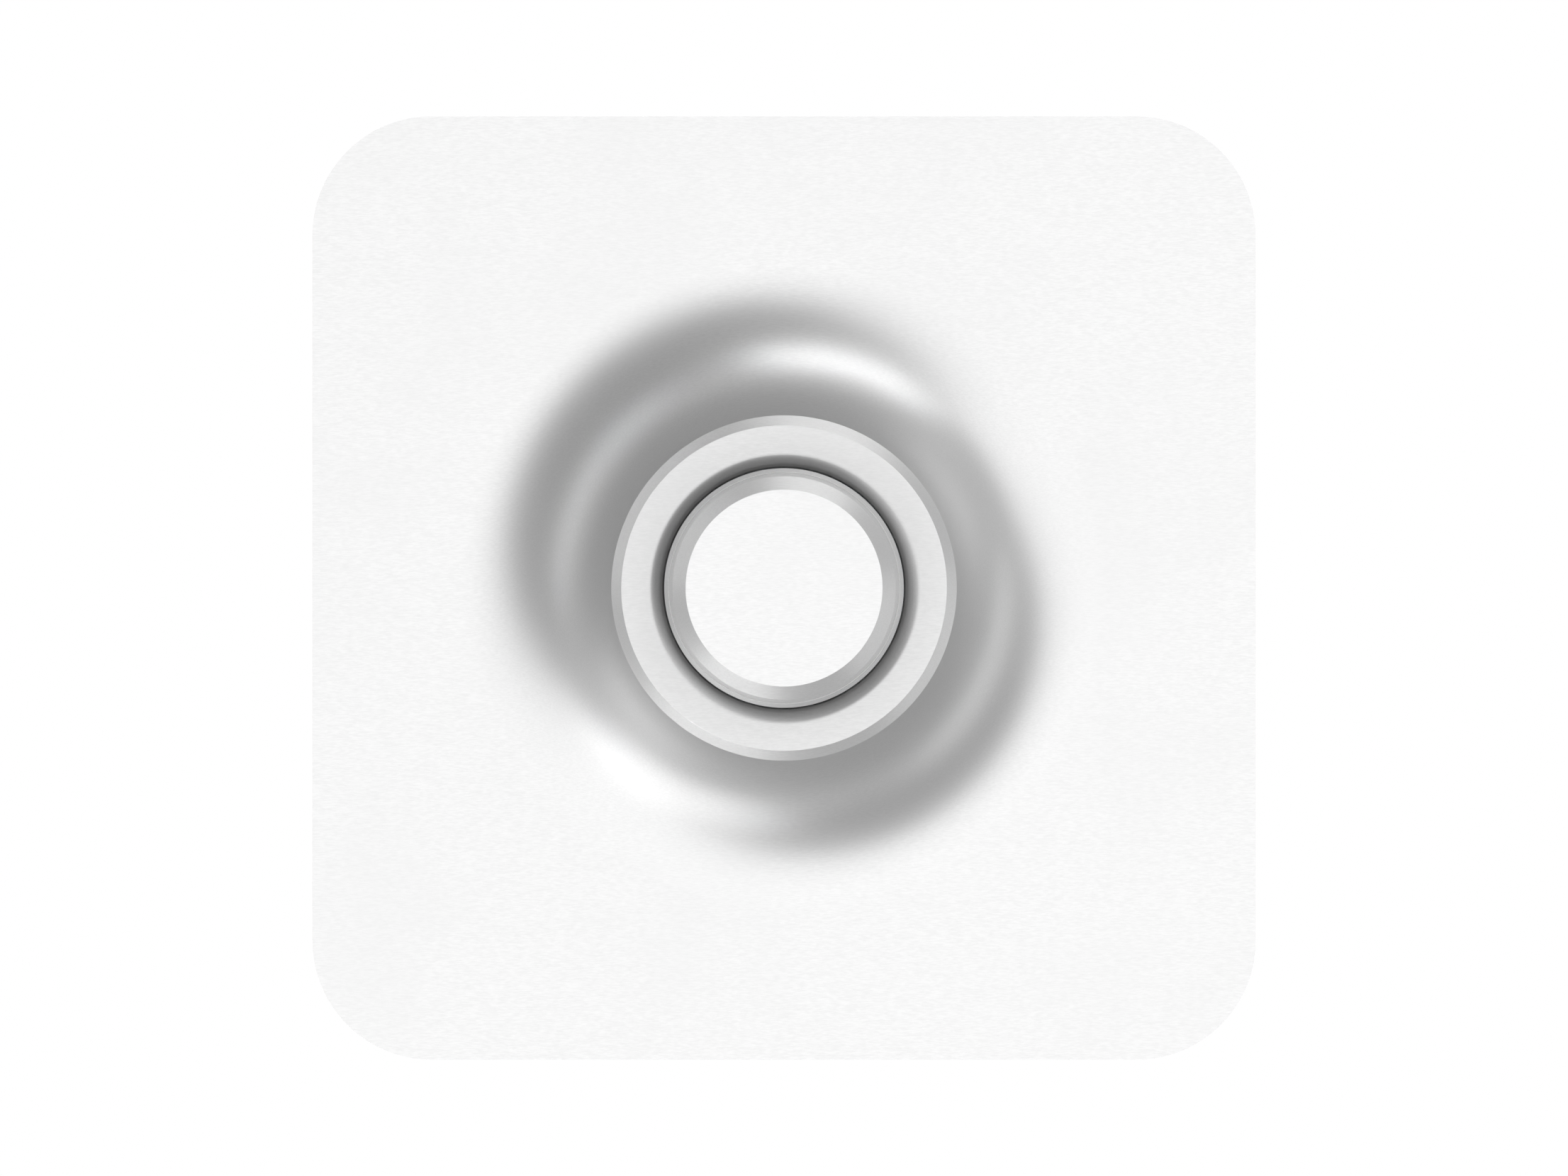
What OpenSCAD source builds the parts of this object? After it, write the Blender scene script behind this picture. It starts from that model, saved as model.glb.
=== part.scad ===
// Concealed fire sprinkler head for a wall, with a square flared face plate.
// Every piece is drawn along its own axis, z pointing out of the wall and z = 0 on the wall's face,
// and is then turned so that the head looks along -Y with +Z up.

/* [Face plate] */
// Side of the square plate
plate_side = 100; // [88:1:130]
// Radius of the plate's corners
plate_corner_r = 12.6; // [6:0.2:20]
// Thickness of the plate's sheet
plate_t = 1.5; // [1:0.1:2]
// Radius of the trumpet flare, on its front face
flare_r = 15.95; // [14:0.05:18]
// Straight length at the mouth of the flare's neck
neck_land = 0.55; // [0.3:0.05:2]

/* [Grip collar] */
// Thickness of the spring collar in the neck
grip_t = 0.45; // [0.3:0.05:0.8]
// Height of the bump at each finger's tip
grip_bump = 0.5; // [0.3:0.05:1]
// Length of the collar with its fingers
grip_len = 14.5; // [10:0.5:16]
// Height of the collar's closed band
grip_band_h = 3; // [2:0.5:5]
// Number of fingers
grip_fingers = 8; // [4:1:12]
// Width of the slot between two fingers
grip_slot_w = 4; // [1:0.5:6]

/* [Bezel ring] */
// Radius of the ring's bore
bezel_bore_r = 12.95; // [12.5:0.05:15]
// Thickness of the ring's flange
bezel_t = 3; // [2.6:0.1:5]
// Chamfer round the flange's outer edge
bezel_chamfer = 1.05; // [0.4:0.05:1.6]
// Rounding of the lip of the bore
bezel_lip_r = 1.5; // [0.6:0.1:2.4]
// Length of the threaded spigot behind the flange
spigot_len = 9; // [7:0.5:11]
// Wall of the spigot
spigot_wall = 1.2; // [1:0.1:2]

/* [Cover cap] */
// How far the cap's face stands proud of the ring's face
cap_proud = 4; // [3.4:0.1:6]
// Length of the cap from its face to the end of its skirt
cap_len = 7.5; // [7:0.1:9]
// Width and height of the 45 degree edge
cap_cone = 1.4; // [0.6:0.1:1.8]
// Height of the tapered band under the edge
cap_band_h = 1.2; // [0.6:0.1:2]
// How much the band and the collar each widen downwards
cap_taper = 0.4; // [0.1:0.05:0.5]
// Thickness of the cap's face
cap_t = 1; // [0.6:0.1:1.4]
// Wall of the cap's skirt
cap_wall = 0.45; // [0.3:0.05:0.7]
// Gap between the cap and the ring's bore
cap_gap = 0.3; // [0.2:0.05:0.6]
// Height of the boss behind the cap's face
cap_boss_h = 2; // [1:0.1:3]
// Radius of the boss behind the cap's face
cap_boss_r = 2.6; // [2:0.1:3.5]

/* [Cap release] */
// Thickness of the retainer's ring
retainer_t = 1; // [0.8:0.1:2]
// Width of each retainer post, in degrees of the ring
post_angle = 24; // [12:1:40]
// Thickness of each fusible pad
pad_t = 0.3; // [0.2:0.05:0.5]
// Thickness of the ejector spring's strip
spring_t = 0.4; // [0.3:0.05:0.6]
// Width of the ejector spring's strip
spring_w = 4; // [2:0.5:6]
// Half the distance between the ejector spring's ends
spring_half = 6; // [5:0.1:7]
// Radius of the rivet's shank in the spring
rivet_r = 0.8; // [0.5:0.1:1.2]
// Height of the rivet's head
rivet_head_h = 0.5; // [0.3:0.1:0.8]

/* [Housing] */
// Wall of the housing tube
housing_wall = 1.5; // [1.2:0.1:3]
// Depth of the two shoulders inside the housing
shoulder = 0.9; // [0.5:0.1:1.2]
// Length of the housing's thread over the body
housing_lap = 9; // [7:0.5:12]
// Radius of the set screws
set_screw_r = 1.5; // [1:0.1:2]
// Thickness of the ring nut
nut_t = 4; // [3:0.5:6]
// Width of the ring nut's rim
nut_rim = 3.6; // [2.5:0.1:5]
// Number of spanner slots in the ring nut
nut_slots = 6; // [4:1:10]
// Width of each spanner slot
nut_slot_w = 3; // [2:0.5:4]

/* [Inlet body] */
// Depth of the valve seat behind the wall's face
seat_depth = 10; // [8:0.5:14]
// Radius of the nozzle's bore
nozzle_bore_r = 6; // [5:0.1:6.2]
// Width of the nozzle's rim
nozzle_rim = 1.4; // [1:0.1:1.6]
// Height of the nozzle above the body's face
nozzle_h = 3; // [2:0.1:4]
// Radius of the waterway behind the nozzle
waterway_r = 6.5; // [5:0.1:7]
// Wrench size across the flats of the hexagon
hex_af = 24; // [22:1:30]
// Length of the hexagon
hex_len = 7; // [5:0.5:10]
// Crest radius of the half-inch pipe thread
pipe_r = 10.48; // [10:0.02:11]
// Length of the pipe thread
pipe_len = 15; // [12:0.5:20]
// Pitch of the pipe thread
pipe_pitch = 1.814; // [1.2:0.001:2.4]
// Depth of the pipe thread
pipe_depth = 1.1; // [0.6:0.05:1.3]
// Solid floor behind the guide holes
boss_floor = 3.7; // [2:0.1:6]

/* [Valve and bulb] */
// Thickness of the seal disc
seal_t = 0.5; // [0.3:0.05:0.8]
// Rise of the seal disc towards its hole
seal_dish = 0.4; // [0.1:0.05:0.8]
// Width of the seal disc's bearing on the nozzle's rim
seal_lap = 1; // [0.5:0.1:1.3]
// Radius of the plug's stem
stem_r = 3.9; // [3:0.1:4.5]
// Length of the plug's stem in the nozzle
stem_len = 2; // [1:0.1:4]
// Thickness of the plug's flange
plug_t = 1.4; // [1:0.1:2]
// Height of the plug's boss
plug_boss_h = 1.4; // [1:0.1:2]
// Radius of the bulb
bulb_r = 2; // [1.5:0.1:2.5]
// Length of the bulb with its tip
bulb_len = 16; // [14:0.5:20]
// Thickness of the bulb's glass
glass_t = 0.4; // [0.3:0.05:0.6]
// Radius of the bulb's tip
bulb_tip_r = 0.9; // [0.7:0.05:1.1]
// Length of the bulb's tip
bulb_tip_len = 1.6; // [1.2:0.1:2]
// Radius of the bubble in the bulb's fluid
bubble_r = 0.7; // [0.4:0.05:1]
// Floor of the cup under the bulb
cup_floor = 0.6; // [0.4:0.1:1]
// Height of the cup under the bulb
cup_h = 1.6; // [1.2:0.1:2.2]
// Wall of the cup at its rim
cup_wall = 0.7; // [0.5:0.1:1]
// Radius of the load screw
load_r = 2.4; // [2:0.1:3]
// Depth of the load screw's seat for the bulb's tip
load_seat = 0.8; // [0.5:0.05:0.9]
// How far the load screw stands out of the bridge
load_proud = 0.6; // [0.3:0.1:1]

/* [Yoke] */
// Thickness of the yoke's base
base_t = 3.5; // [3:0.1:5]
// Room round the yoke's base in the housing
base_room = 0.5; // [0.3:0.1:1]
// Width of the arms
arm_w = 3.4; // [2.6:0.1:4]
// Thickness of the arms
arm_t = 2.2; // [1.6:0.1:2.6]
// Room between the arms and the retainer's ring
arm_room = 1.05; // [0.5:0.05:1.5]
// Thickness of the bridge
bridge_t = 3.8; // [3:0.1:5]
// Room between the bulb's tip and the bridge
bridge_rise = 0.4; // [0.2:0.1:1]
// Rounding of the yoke's shoulders
yoke_shoulder_r = 4; // [2.5:0.1:5]
// Wall of the bridge's hub round the load screw
hub_wall = 1.2; // [0.8:0.1:1.6]
// Radius of the yoke screws
yoke_screw_r = 1.2; // [0.8:0.1:1.4]
// Length of the yoke screws in the body
yoke_screw_len = 5; // [3:0.5:7]

/* [Deflector] */
// Thickness of the deflector
defl_t = 1.2; // [0.8:0.1:1.6]
// Gap between the deflector and the cap's skirt
defl_gap = 0.35; // [0.3:0.05:0.8]
// Gap between the deflector and the load screw at rest
defl_rest_gap = 0.4; // [0.3:0.1:1]
// How far the deflector drops forward
defl_travel = 10; // [6:0.5:12]
// Number of places for slots round the deflector
slot_places = 14; // [8:1:20]
// Width of each slot
slot_w = 1.5; // [0.8:0.1:2]
// Radius at the inner end of the slots
slot_root_r = 6.2; // [4:0.1:8]
// Width of the canopy
canopy_w = 8; // [5:0.5:10]
// Height of the canopy above the deflector
canopy_h = 4.2; // [2:0.1:4.8]
// Thickness of the canopy
canopy_t = 1; // [0.6:0.1:1.4]
// Radius of the guide pins
pin_r = 1; // [0.8:0.05:1.2]
// Distance of the guide pins from the axis
pin_offset = 9.2; // [9:0.05:9.5]
// Radius of the pins' heads and tails
pin_head_r = 1.5; // [1.3:0.05:1.6]
// Thickness of the pins' tails
pin_tail_t = 1.5; // [1:0.1:2]
// Height of the pins' heads
pin_head_h = 0.7; // [0.4:0.1:1]
// Radius of the pins' necks in the deflector
pin_neck_r = 0.7; // [0.5:0.05:0.75]

/* [Clearances] */
// Radial clearance of pieces that fit into each other
fit_gap = 0.05; // [0.02:0.01:0.08]
// Clearance of pieces that only lie beside each other
lie_gap = 0.3; // [0.2:0.05:0.5]

/* [Hidden] */
$fn = 96;

// Radii, worked outwards from the ring's bore
spigot_r = bezel_bore_r + spigot_wall;
housing_thread_r = spigot_r + fit_gap;
housing_r = housing_thread_r + housing_wall;
housing_bore_r = housing_thread_r - shoulder;
grip_in_r = housing_r + fit_gap + grip_bump;
grip_r = grip_in_r + grip_t;
neck_in_r = grip_r + fit_gap;
neck_r = neck_in_r + plate_t;
flare_base_r = neck_r + flare_r;

// Radii of the cap, worked inwards from the ring's bore
cap_r = bezel_bore_r - cap_gap;
collar_top_r = cap_r - cap_taper;
band_r = collar_top_r - fit_gap;
cap_edge_r = band_r - cap_taper;
cap_face_r = cap_edge_r - cap_cone;
skirt_in_r = cap_edge_r - cap_wall;
collar_in_r = cap_edge_r + fit_gap;
retainer_in_r = skirt_in_r;
post_in_r = collar_in_r + fit_gap;
post_r = cap_r - fit_gap;

// Heights in front of the wall
flare_top_z = plate_t + flare_r;
neck_end_z = flare_top_z + neck_land;
bezel_back_z = neck_end_z + fit_gap;
bezel_face_z = bezel_back_z + bezel_t;
spigot_end_z = bezel_back_z - spigot_len;
retainer_z = spigot_end_z - retainer_t;
cap_face_z = bezel_face_z + cap_proud;
cap_back_z = cap_face_z - cap_t;
band_end_z = cap_face_z - cap_cone - cap_band_h;
skirt_end_z = cap_face_z - cap_len;
boss_face_z = cap_back_z - cap_boss_h;

// Heights behind the wall and up the valve
seat_z = -seat_depth;
body_face_z = seat_z - nozzle_h;
guide_hole_depth = defl_travel + pin_tail_t + 2 * lie_gap;
boss_len = max(guide_hole_depth + boss_floor, housing_lap + nut_t + 2 * lie_gap);
boss_end_z = body_face_z - boss_len;
hex_end_z = boss_end_z - hex_len;
inlet_z = hex_end_z - pipe_len;
waterway_step_z = body_face_z - boss_len / 2;
housing_end_z = body_face_z - housing_lap;
plug_z = seat_z + seal_dish + seal_t;
plug_top_z = plug_z + plug_t + plug_boss_h;
bulb_z = plug_top_z + cup_floor;
bulb_top_z = bulb_z + bulb_len;
bulb_low_centre_z = bulb_z + bulb_r;
bulb_high_centre_z = bulb_top_z - bulb_tip_len - bulb_r;
bridge_z = bulb_top_z + bridge_rise;
bridge_top_z = bridge_z + bridge_t;
load_top_z = bridge_top_z + load_proud;
defl_z = load_top_z + defl_rest_gap;
defl_top_z = defl_z + defl_t;
pin_tail_z = body_face_z - lie_gap - defl_travel;

// Sizes of the pieces inside
nozzle_r = nozzle_bore_r + nozzle_rim;
pin_bay_r = pin_head_r + lie_gap;
base_r = housing_bore_r - base_room;
base_top_z = body_face_z + base_t;
arm_out = retainer_in_r - arm_room;
arm_in = arm_out - arm_t;
seal_hole_r = stem_r + fit_gap;
seal_r = nozzle_bore_r + seal_lap;
cup_r = bulb_r + cup_wall;
defl_r = skirt_in_r - defl_gap;
canopy_out = sqrt(pow(defl_r, 2) - pow(canopy_w / 2, 2)) - lie_gap;
yoke_screw_at = (nozzle_r + base_r) / 2;
yoke_screw_head_r = (base_r - nozzle_r) / 2 - lie_gap;
yoke_screw_head_h = yoke_screw_r;
yoke_screw_angle = 45;
set_screw_z = body_face_z - housing_lap / 2;
set_screw_bite = housing_wall;
spring_base_z = defl_top_z + fit_gap;
spring_rise = boss_face_z - spring_base_z;
spring_r = (pow(spring_half, 2) + pow(spring_rise, 2)) / (2 * spring_rise);
post_count = 3;
over = 1;

// Turns a piece from its own axis to the wall: z goes to -Y and y goes up
module on_wall() rotate([90, 0, 0]) children();

// A piece turned on its axis from a half section of radius and height
module turned() rotate_extrude() children();

// Half section of a plain ring
module ring_section(r0, r1, z0, z1) translate([r0, z0]) square([r1 - r0, z1 - z0]);

// Places a child on each of a number of equal turns about the axis
module around(count, start = 0) for (i = [0 : count - 1]) rotate(start + i * 360 / count) children();

// Square outline with round corners
module rounded_square(side, r) {
  square([side, side - 2 * r], center = true);
  square([side - 2 * r, side], center = true);
  for (x = [-1, 1], y = [-1, 1]) translate([x, y] * (side / 2 - r)) circle(r);
}

// Half section of the drawn flare and neck: two arcs about one centre, a sheet thickness apart
module flare_section() {
  intersection() {
    translate([flare_base_r, flare_top_z]) difference() {
      circle(flare_r + plate_t);
      circle(flare_r);
    }
    ring_section(neck_in_r, flare_base_r, 0, flare_top_z);
  }
  ring_section(neck_in_r, neck_r, flare_top_z, neck_end_z);
  ring_section(flare_base_r, flare_base_r + over, 0, plate_t);
}

module face_plate() color("gainsboro") on_wall() {
  linear_extrude(plate_t) difference() {
    rounded_square(plate_side, plate_corner_r);
    circle(flare_base_r + over / 2);
  }
  turned() flare_section();
}

module grip_collar() color("silver") on_wall() {
  tip_z = neck_end_z - grip_len;
  difference() {
    turned() {
      ring_section(grip_in_r, grip_r, tip_z, neck_end_z - fit_gap);
      intersection() {
        translate([grip_in_r, tip_z + grip_bump]) circle(grip_bump);
        ring_section(grip_in_r - grip_bump, grip_in_r + grip_t / 2, tip_z, tip_z + 2 * grip_bump);
      }
    }
    around(grip_fingers) translate([0, -grip_slot_w / 2, tip_z - over])
      cube([grip_r + over, grip_slot_w, grip_len - grip_band_h + over]);
  }
}

// Half section of the ring's flange: chamfered outside, rounded at the lip of its bore
module bezel_section() {
  lip_centre = [bezel_bore_r + bezel_lip_r, bezel_face_z - bezel_lip_r];
  difference() {
    ring_section(bezel_bore_r, neck_r, bezel_back_z, bezel_face_z);
    ring_section(bezel_bore_r - over, lip_centre[0], lip_centre[1], bezel_face_z + over);
    polygon([
      [neck_r - bezel_chamfer - over, bezel_face_z + over],
      [neck_r + over, bezel_face_z - bezel_chamfer - over],
      [neck_r + over, bezel_face_z + over]
    ]);
  }
  intersection() {
    translate(lip_centre) circle(bezel_lip_r);
    ring_section(bezel_bore_r, lip_centre[0] + over / 2, lip_centre[1], bezel_face_z);
  }
  ring_section(bezel_bore_r, spigot_r, spigot_end_z, bezel_back_z);
}

module bezel_ring() color("gainsboro") on_wall() turned() bezel_section();

module cover_cap() color("whitesmoke") on_wall() {
  inner_edge = cap_cone / 2;
  difference() {
    union() {
      turned() polygon([
        [0, cap_face_z],
        [cap_face_r, cap_face_z],
        [cap_edge_r, cap_face_z - cap_cone],
        [band_r, band_end_z],
        [cap_edge_r, band_end_z],
        [cap_edge_r, skirt_end_z],
        [skirt_in_r, skirt_end_z],
        [skirt_in_r, cap_back_z - inner_edge],
        [skirt_in_r - inner_edge, cap_back_z],
        [0, cap_back_z]
      ]);
      translate([0, 0, boss_face_z]) cylinder(r = cap_boss_r, h = cap_boss_h + cap_t / 2);
    }
    translate([0, 0, boss_face_z - over]) cylinder(r = rivet_r + fit_gap, h = cap_boss_h + over);
  }
}

module cap_collar() color("silver") on_wall() turned() polygon([
  [collar_in_r, band_end_z - fit_gap],
  [collar_top_r, band_end_z - fit_gap],
  [cap_r, band_end_z - fit_gap - cap_band_h],
  [cap_r, skirt_end_z],
  [collar_in_r, skirt_end_z]
]);

// One post of the retainer, or a pad on it, as a slice of a ring
module post_slice(z0, z1) rotate(90 - post_angle / 2) rotate_extrude(angle = post_angle)
  ring_section(post_in_r, post_r, z0, z1);

module cap_retainer() color("darkgray") on_wall() {
  turned() ring_section(retainer_in_r, spigot_r, retainer_z, spigot_end_z);
  around(post_count) post_slice(spigot_end_z - retainer_t / 2, skirt_end_z - pad_t);
}

module solder_pad(i) color("lightslategray") on_wall() rotate(i * 360 / post_count)
  post_slice(skirt_end_z - pad_t, skirt_end_z);

// Bow strip whose crown lies on the cap's boss and whose ends stand on the deflector
module ejector_spring() color("slategray") on_wall() difference() {
  rotate([90, 0, 0]) translate([0, 0, -spring_w / 2]) linear_extrude(spring_w) intersection() {
    translate([0, boss_face_z - spring_r]) difference() {
      circle(spring_r);
      circle(spring_r - spring_t);
    }
    translate([-spring_r, spring_base_z]) square([2 * spring_r, spring_rise]);
  }
  translate([0, 0, boss_face_z - 2 * spring_t]) cylinder(r = rivet_r + fit_gap, h = 2 * spring_t + over);
}

// Rivet through the spring's crown into the cap's boss, its head bearing on the strip's inner curve
module spring_rivet() color("lightgray") on_wall() {
  head_r = 2 * rivet_r;
  strip_in_r = spring_r - spring_t;
  head_top_z = boss_face_z - spring_r + sqrt(pow(strip_in_r, 2) - pow(head_r, 2));
  translate([0, 0, head_top_z - rivet_head_h]) cylinder(r = head_r, h = rivet_head_h);
  translate([0, 0, head_top_z - rivet_head_h / 2])
    cylinder(r = rivet_r, h = boss_face_z + cap_boss_h - fit_gap - head_top_z + rivet_head_h / 2);
}

module housing_tube() color("lightsteelblue") on_wall() difference() {
  turned() {
    ring_section(housing_thread_r, housing_r, retainer_z, bezel_back_z - fit_gap);
    ring_section(housing_bore_r, housing_r, body_face_z, retainer_z);
    ring_section(housing_thread_r, housing_r, housing_end_z, body_face_z);
  }
  around(post_count, 90) translate([0, 0, set_screw_z]) rotate([0, 90, 0])
    cylinder(r = set_screw_r + fit_gap, h = housing_r + over);
}

// Grub screw through the housing's wall into the body, with a hexagon socket in its outer end
module set_screw(i) color("dimgray") on_wall() rotate(90 + i * 360 / post_count)
  translate([housing_thread_r - fit_gap - set_screw_bite, 0, set_screw_z]) rotate([0, 90, 0]) {
    length = housing_wall + fit_gap + set_screw_bite;
    difference() {
      cylinder(r = set_screw_r, h = length);
      translate([0, 0, length / 2]) cylinder(r = set_screw_r / 2, h = length, $fn = 6);
    }
  }

module lock_nut() color("darkkhaki") on_wall() {
  top_z = housing_end_z - fit_gap;
  nut_r = housing_thread_r + nut_rim;
  edge = nut_t / 10;
  difference() {
    turned() polygon([
      [housing_thread_r, top_z],
      [nut_r - edge, top_z],
      [nut_r, top_z - edge],
      [nut_r, top_z - nut_t + edge],
      [nut_r - edge, top_z - nut_t],
      [housing_thread_r, top_z - nut_t]
    ]);
    around(nut_slots) translate([nut_r - nut_rim / 2, -nut_slot_w / 2, top_z - nut_t - over])
      cube([nut_rim, nut_slot_w, nut_t + 2 * over]);
  }
}

// Ring grooves of the pipe thread, one pitch apart, that leave a narrow land on each crest
module pipe_grooves() {
  land = pipe_pitch / 6;
  half = (pipe_pitch - land) / 2;
  first = inlet_z + pipe_depth + land;
  count = floor((pipe_len - pipe_depth - land - 2 * half) / pipe_pitch) + 1;
  for (i = [0 : count - 1]) translate([0, first + half + i * pipe_pitch]) polygon([
    [pipe_r - pipe_depth, 0],
    [pipe_r + over, -half - over * half / pipe_depth],
    [pipe_r + over, half + over * half / pipe_depth]
  ]);
}

module inlet_body() color("peru") on_wall() difference() {
  union() {
    turned() {
      ring_section(0, nozzle_r, body_face_z, seat_z);
      ring_section(0, spigot_r, boss_end_z, body_face_z);
    }
    translate([0, 0, hex_end_z]) cylinder(r = hex_af / sqrt(3), h = hex_len + over, $fn = 6);
    turned() difference() {
      ring_section(0, pipe_r, inlet_z, hex_end_z + over);
      pipe_grooves();
      polygon([
        [pipe_r - pipe_depth - over, inlet_z - over],
        [pipe_r + over, inlet_z - over],
        [pipe_r + over, inlet_z + pipe_depth + over]
      ]);
    }
  }
  turned() {
    ring_section(0, nozzle_bore_r, waterway_step_z, seat_z + over);
    ring_section(0, waterway_r, inlet_z - over, waterway_step_z);
  }
  around(2) translate([pin_offset, 0, body_face_z - guide_hole_depth])
    cylinder(r = pin_bay_r, h = guide_hole_depth + over);
  around(2, yoke_screw_angle) translate([yoke_screw_at, 0, body_face_z - yoke_screw_len - lie_gap])
    cylinder(r = yoke_screw_r + fit_gap, h = yoke_screw_len + lie_gap + over);
  around(post_count, 90) translate([0, 0, set_screw_z]) rotate([0, 90, 0])
    translate([0, 0, housing_thread_r - fit_gap - set_screw_bite - lie_gap])
      cylinder(r = set_screw_r + fit_gap, h = set_screw_bite + lie_gap + over);
}

// Upright slab with round upper corners, as wide as the yoke or its window
module yoke_outline(half, top_z, r) {
  translate([-half, body_face_z]) square([2 * half, top_z - r - body_face_z]);
  translate([-half + r, body_face_z]) square([2 * (half - r), top_z - body_face_z]);
  for (y = [-1, 1]) translate([y * (half - r), top_z - r]) circle(r);
}

module frame_yoke() color("burlywood") on_wall() difference() {
  union() {
    turned() ring_section(nozzle_r + fit_gap, base_r, body_face_z, base_top_z);
    difference() {
      rotate([90, 0, 90]) translate([0, 0, -arm_w / 2]) linear_extrude(arm_w) difference() {
        yoke_outline(arm_out, bridge_top_z, yoke_shoulder_r);
        yoke_outline(arm_in, bridge_z, yoke_shoulder_r / 2);
      }
      translate([0, 0, body_face_z - over]) cylinder(r = nozzle_r + fit_gap, h = base_t + over);
    }
    translate([0, 0, bridge_z]) cylinder(r = load_r + hub_wall, h = bridge_t);
  }
  translate([0, 0, bridge_z - over]) cylinder(r = load_r + fit_gap, h = bridge_t + 2 * over);
  around(2) translate([pin_offset, 0, body_face_z - over])
    cylinder(r = pin_r + fit_gap, h = base_t + 2 * over);
  around(2, yoke_screw_angle) translate([yoke_screw_at, 0, body_face_z - over])
    cylinder(r = yoke_screw_r + fit_gap, h = base_t + 2 * over);
}

// Pan-head screw through the yoke's base into the body
module yoke_screw(i) color("lightgray") on_wall()
  rotate(yoke_screw_angle + i * 180) translate([yoke_screw_at, 0, 0]) difference() {
    turned() {
      ring_section(0, yoke_screw_r, body_face_z - yoke_screw_len, base_top_z);
      ring_section(0, yoke_screw_head_r, base_top_z, base_top_z + yoke_screw_head_h);
    }
    translate([0, 0, base_top_z + yoke_screw_head_h / 2])
      cylinder(r = yoke_screw_r, h = yoke_screw_head_h, $fn = 6);
  }

module load_screw() color("goldenrod") on_wall() {
  low_z = bulb_top_z - load_seat;
  slot = load_r / 4;
  difference() {
    translate([0, 0, low_z]) cylinder(r = load_r, h = load_top_z - low_z);
    translate([0, 0, bulb_top_z - bulb_tip_r]) sphere(bulb_tip_r + fit_gap);
    translate([-load_r - over, -slot / 2, load_top_z - 2 * slot])
      cube([2 * (load_r + over), slot, 2 * slot + over]);
  }
}

// Half section of the bulb's barrel with round ends
module barrel_section(r) intersection() {
  union() {
    ring_section(0, r, bulb_low_centre_z, bulb_high_centre_z);
    for (z = [bulb_low_centre_z, bulb_high_centre_z]) translate([0, z]) circle(r);
  }
  ring_section(0, r + over, bulb_low_centre_z - r, bulb_high_centre_z + r);
}

module glass_bulb() color("mistyrose", 0.5) on_wall() turned() difference() {
  union() {
    barrel_section(bulb_r);
    ring_section(0, bulb_tip_r, bulb_high_centre_z + bulb_r / 2, bulb_top_z - bulb_tip_r);
    intersection() {
      translate([0, bulb_top_z - bulb_tip_r]) circle(bulb_tip_r);
      ring_section(0, bulb_tip_r + over, bulb_top_z - bulb_tip_r, bulb_top_z);
    }
  }
  barrel_section(bulb_r - glass_t);
}

module bulb_fluid() color("firebrick") on_wall() difference() {
  turned() barrel_section(bulb_r - glass_t - fit_gap / 2);
  translate([0, 0, bulb_high_centre_z + bulb_r - glass_t - bubble_r / 2]) sphere(bubble_r);
}

module bulb_seat() color("gold") on_wall() difference() {
  translate([0, 0, plug_top_z]) cylinder(r = cup_r, h = cup_h);
  translate([0, 0, bulb_low_centre_z]) sphere(bulb_r + fit_gap / 2);
}

module valve_plug() color("gold") on_wall() turned() {
  ring_section(0, stem_r, seat_z - stem_len, plug_z + plug_t / 2);
  ring_section(0, nozzle_bore_r, plug_z, plug_z + plug_t);
  ring_section(0, cup_r, plug_z + plug_t / 2, plug_top_z);
}

// Dished spring washer that closes the nozzle
module seal_disc() color("steelblue") on_wall() turned() polygon([
  [seal_hole_r, seat_z + seal_dish],
  [seal_r, seat_z],
  [seal_r, seat_z + seal_t],
  [seal_hole_r, seat_z + seal_dish + seal_t]
]);

// Is a slot at this angle clear of the guide pins and of the canopy's foot?
function slot_is_clear(a) =
  abs(sin(a)) * slot_root_r > pin_head_r + slot_w / 2 &&
  (sin(a) < 0 || abs(cos(a)) * defl_r > canopy_w / 2 + slot_w);

module deflector() color("tan") on_wall() {
  difference() {
    translate([0, 0, defl_z]) cylinder(r = defl_r, h = defl_t);
    for (i = [0 : slot_places - 1]) {
      a = (i + 0.5) * 360 / slot_places;
      if (slot_is_clear(a)) rotate(a) translate([slot_root_r, 0, defl_z - over]) {
        cylinder(r = slot_w / 2, h = defl_t + 2 * over);
        translate([0, -slot_w / 2, 0]) cube([defl_r, slot_w, defl_t + 2 * over]);
      }
    }
    around(2) translate([pin_offset, 0, defl_z - over])
      cylinder(r = pin_neck_r + fit_gap, h = defl_t + 2 * over);
  }
  translate([-canopy_w / 2, canopy_out - canopy_t, defl_z + defl_t / 2])
    cube([canopy_w, canopy_t, canopy_h + defl_t / 2]);
}

// Guide pin: tail in the body, shaft in the yoke's base, neck and peened head on the deflector
module guide_pin(side) color("silver") on_wall() translate([side * pin_offset, 0, 0]) turned() {
  ring_section(0, pin_head_r, pin_tail_z - pin_tail_t, pin_tail_z);
  ring_section(0, pin_r, pin_tail_z - pin_tail_t / 2, defl_z);
  ring_section(0, pin_neck_r, defl_z - over, defl_top_z + pin_head_h / 2);
  ring_section(0, pin_head_r, defl_top_z, defl_top_z + pin_head_h);
}

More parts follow.
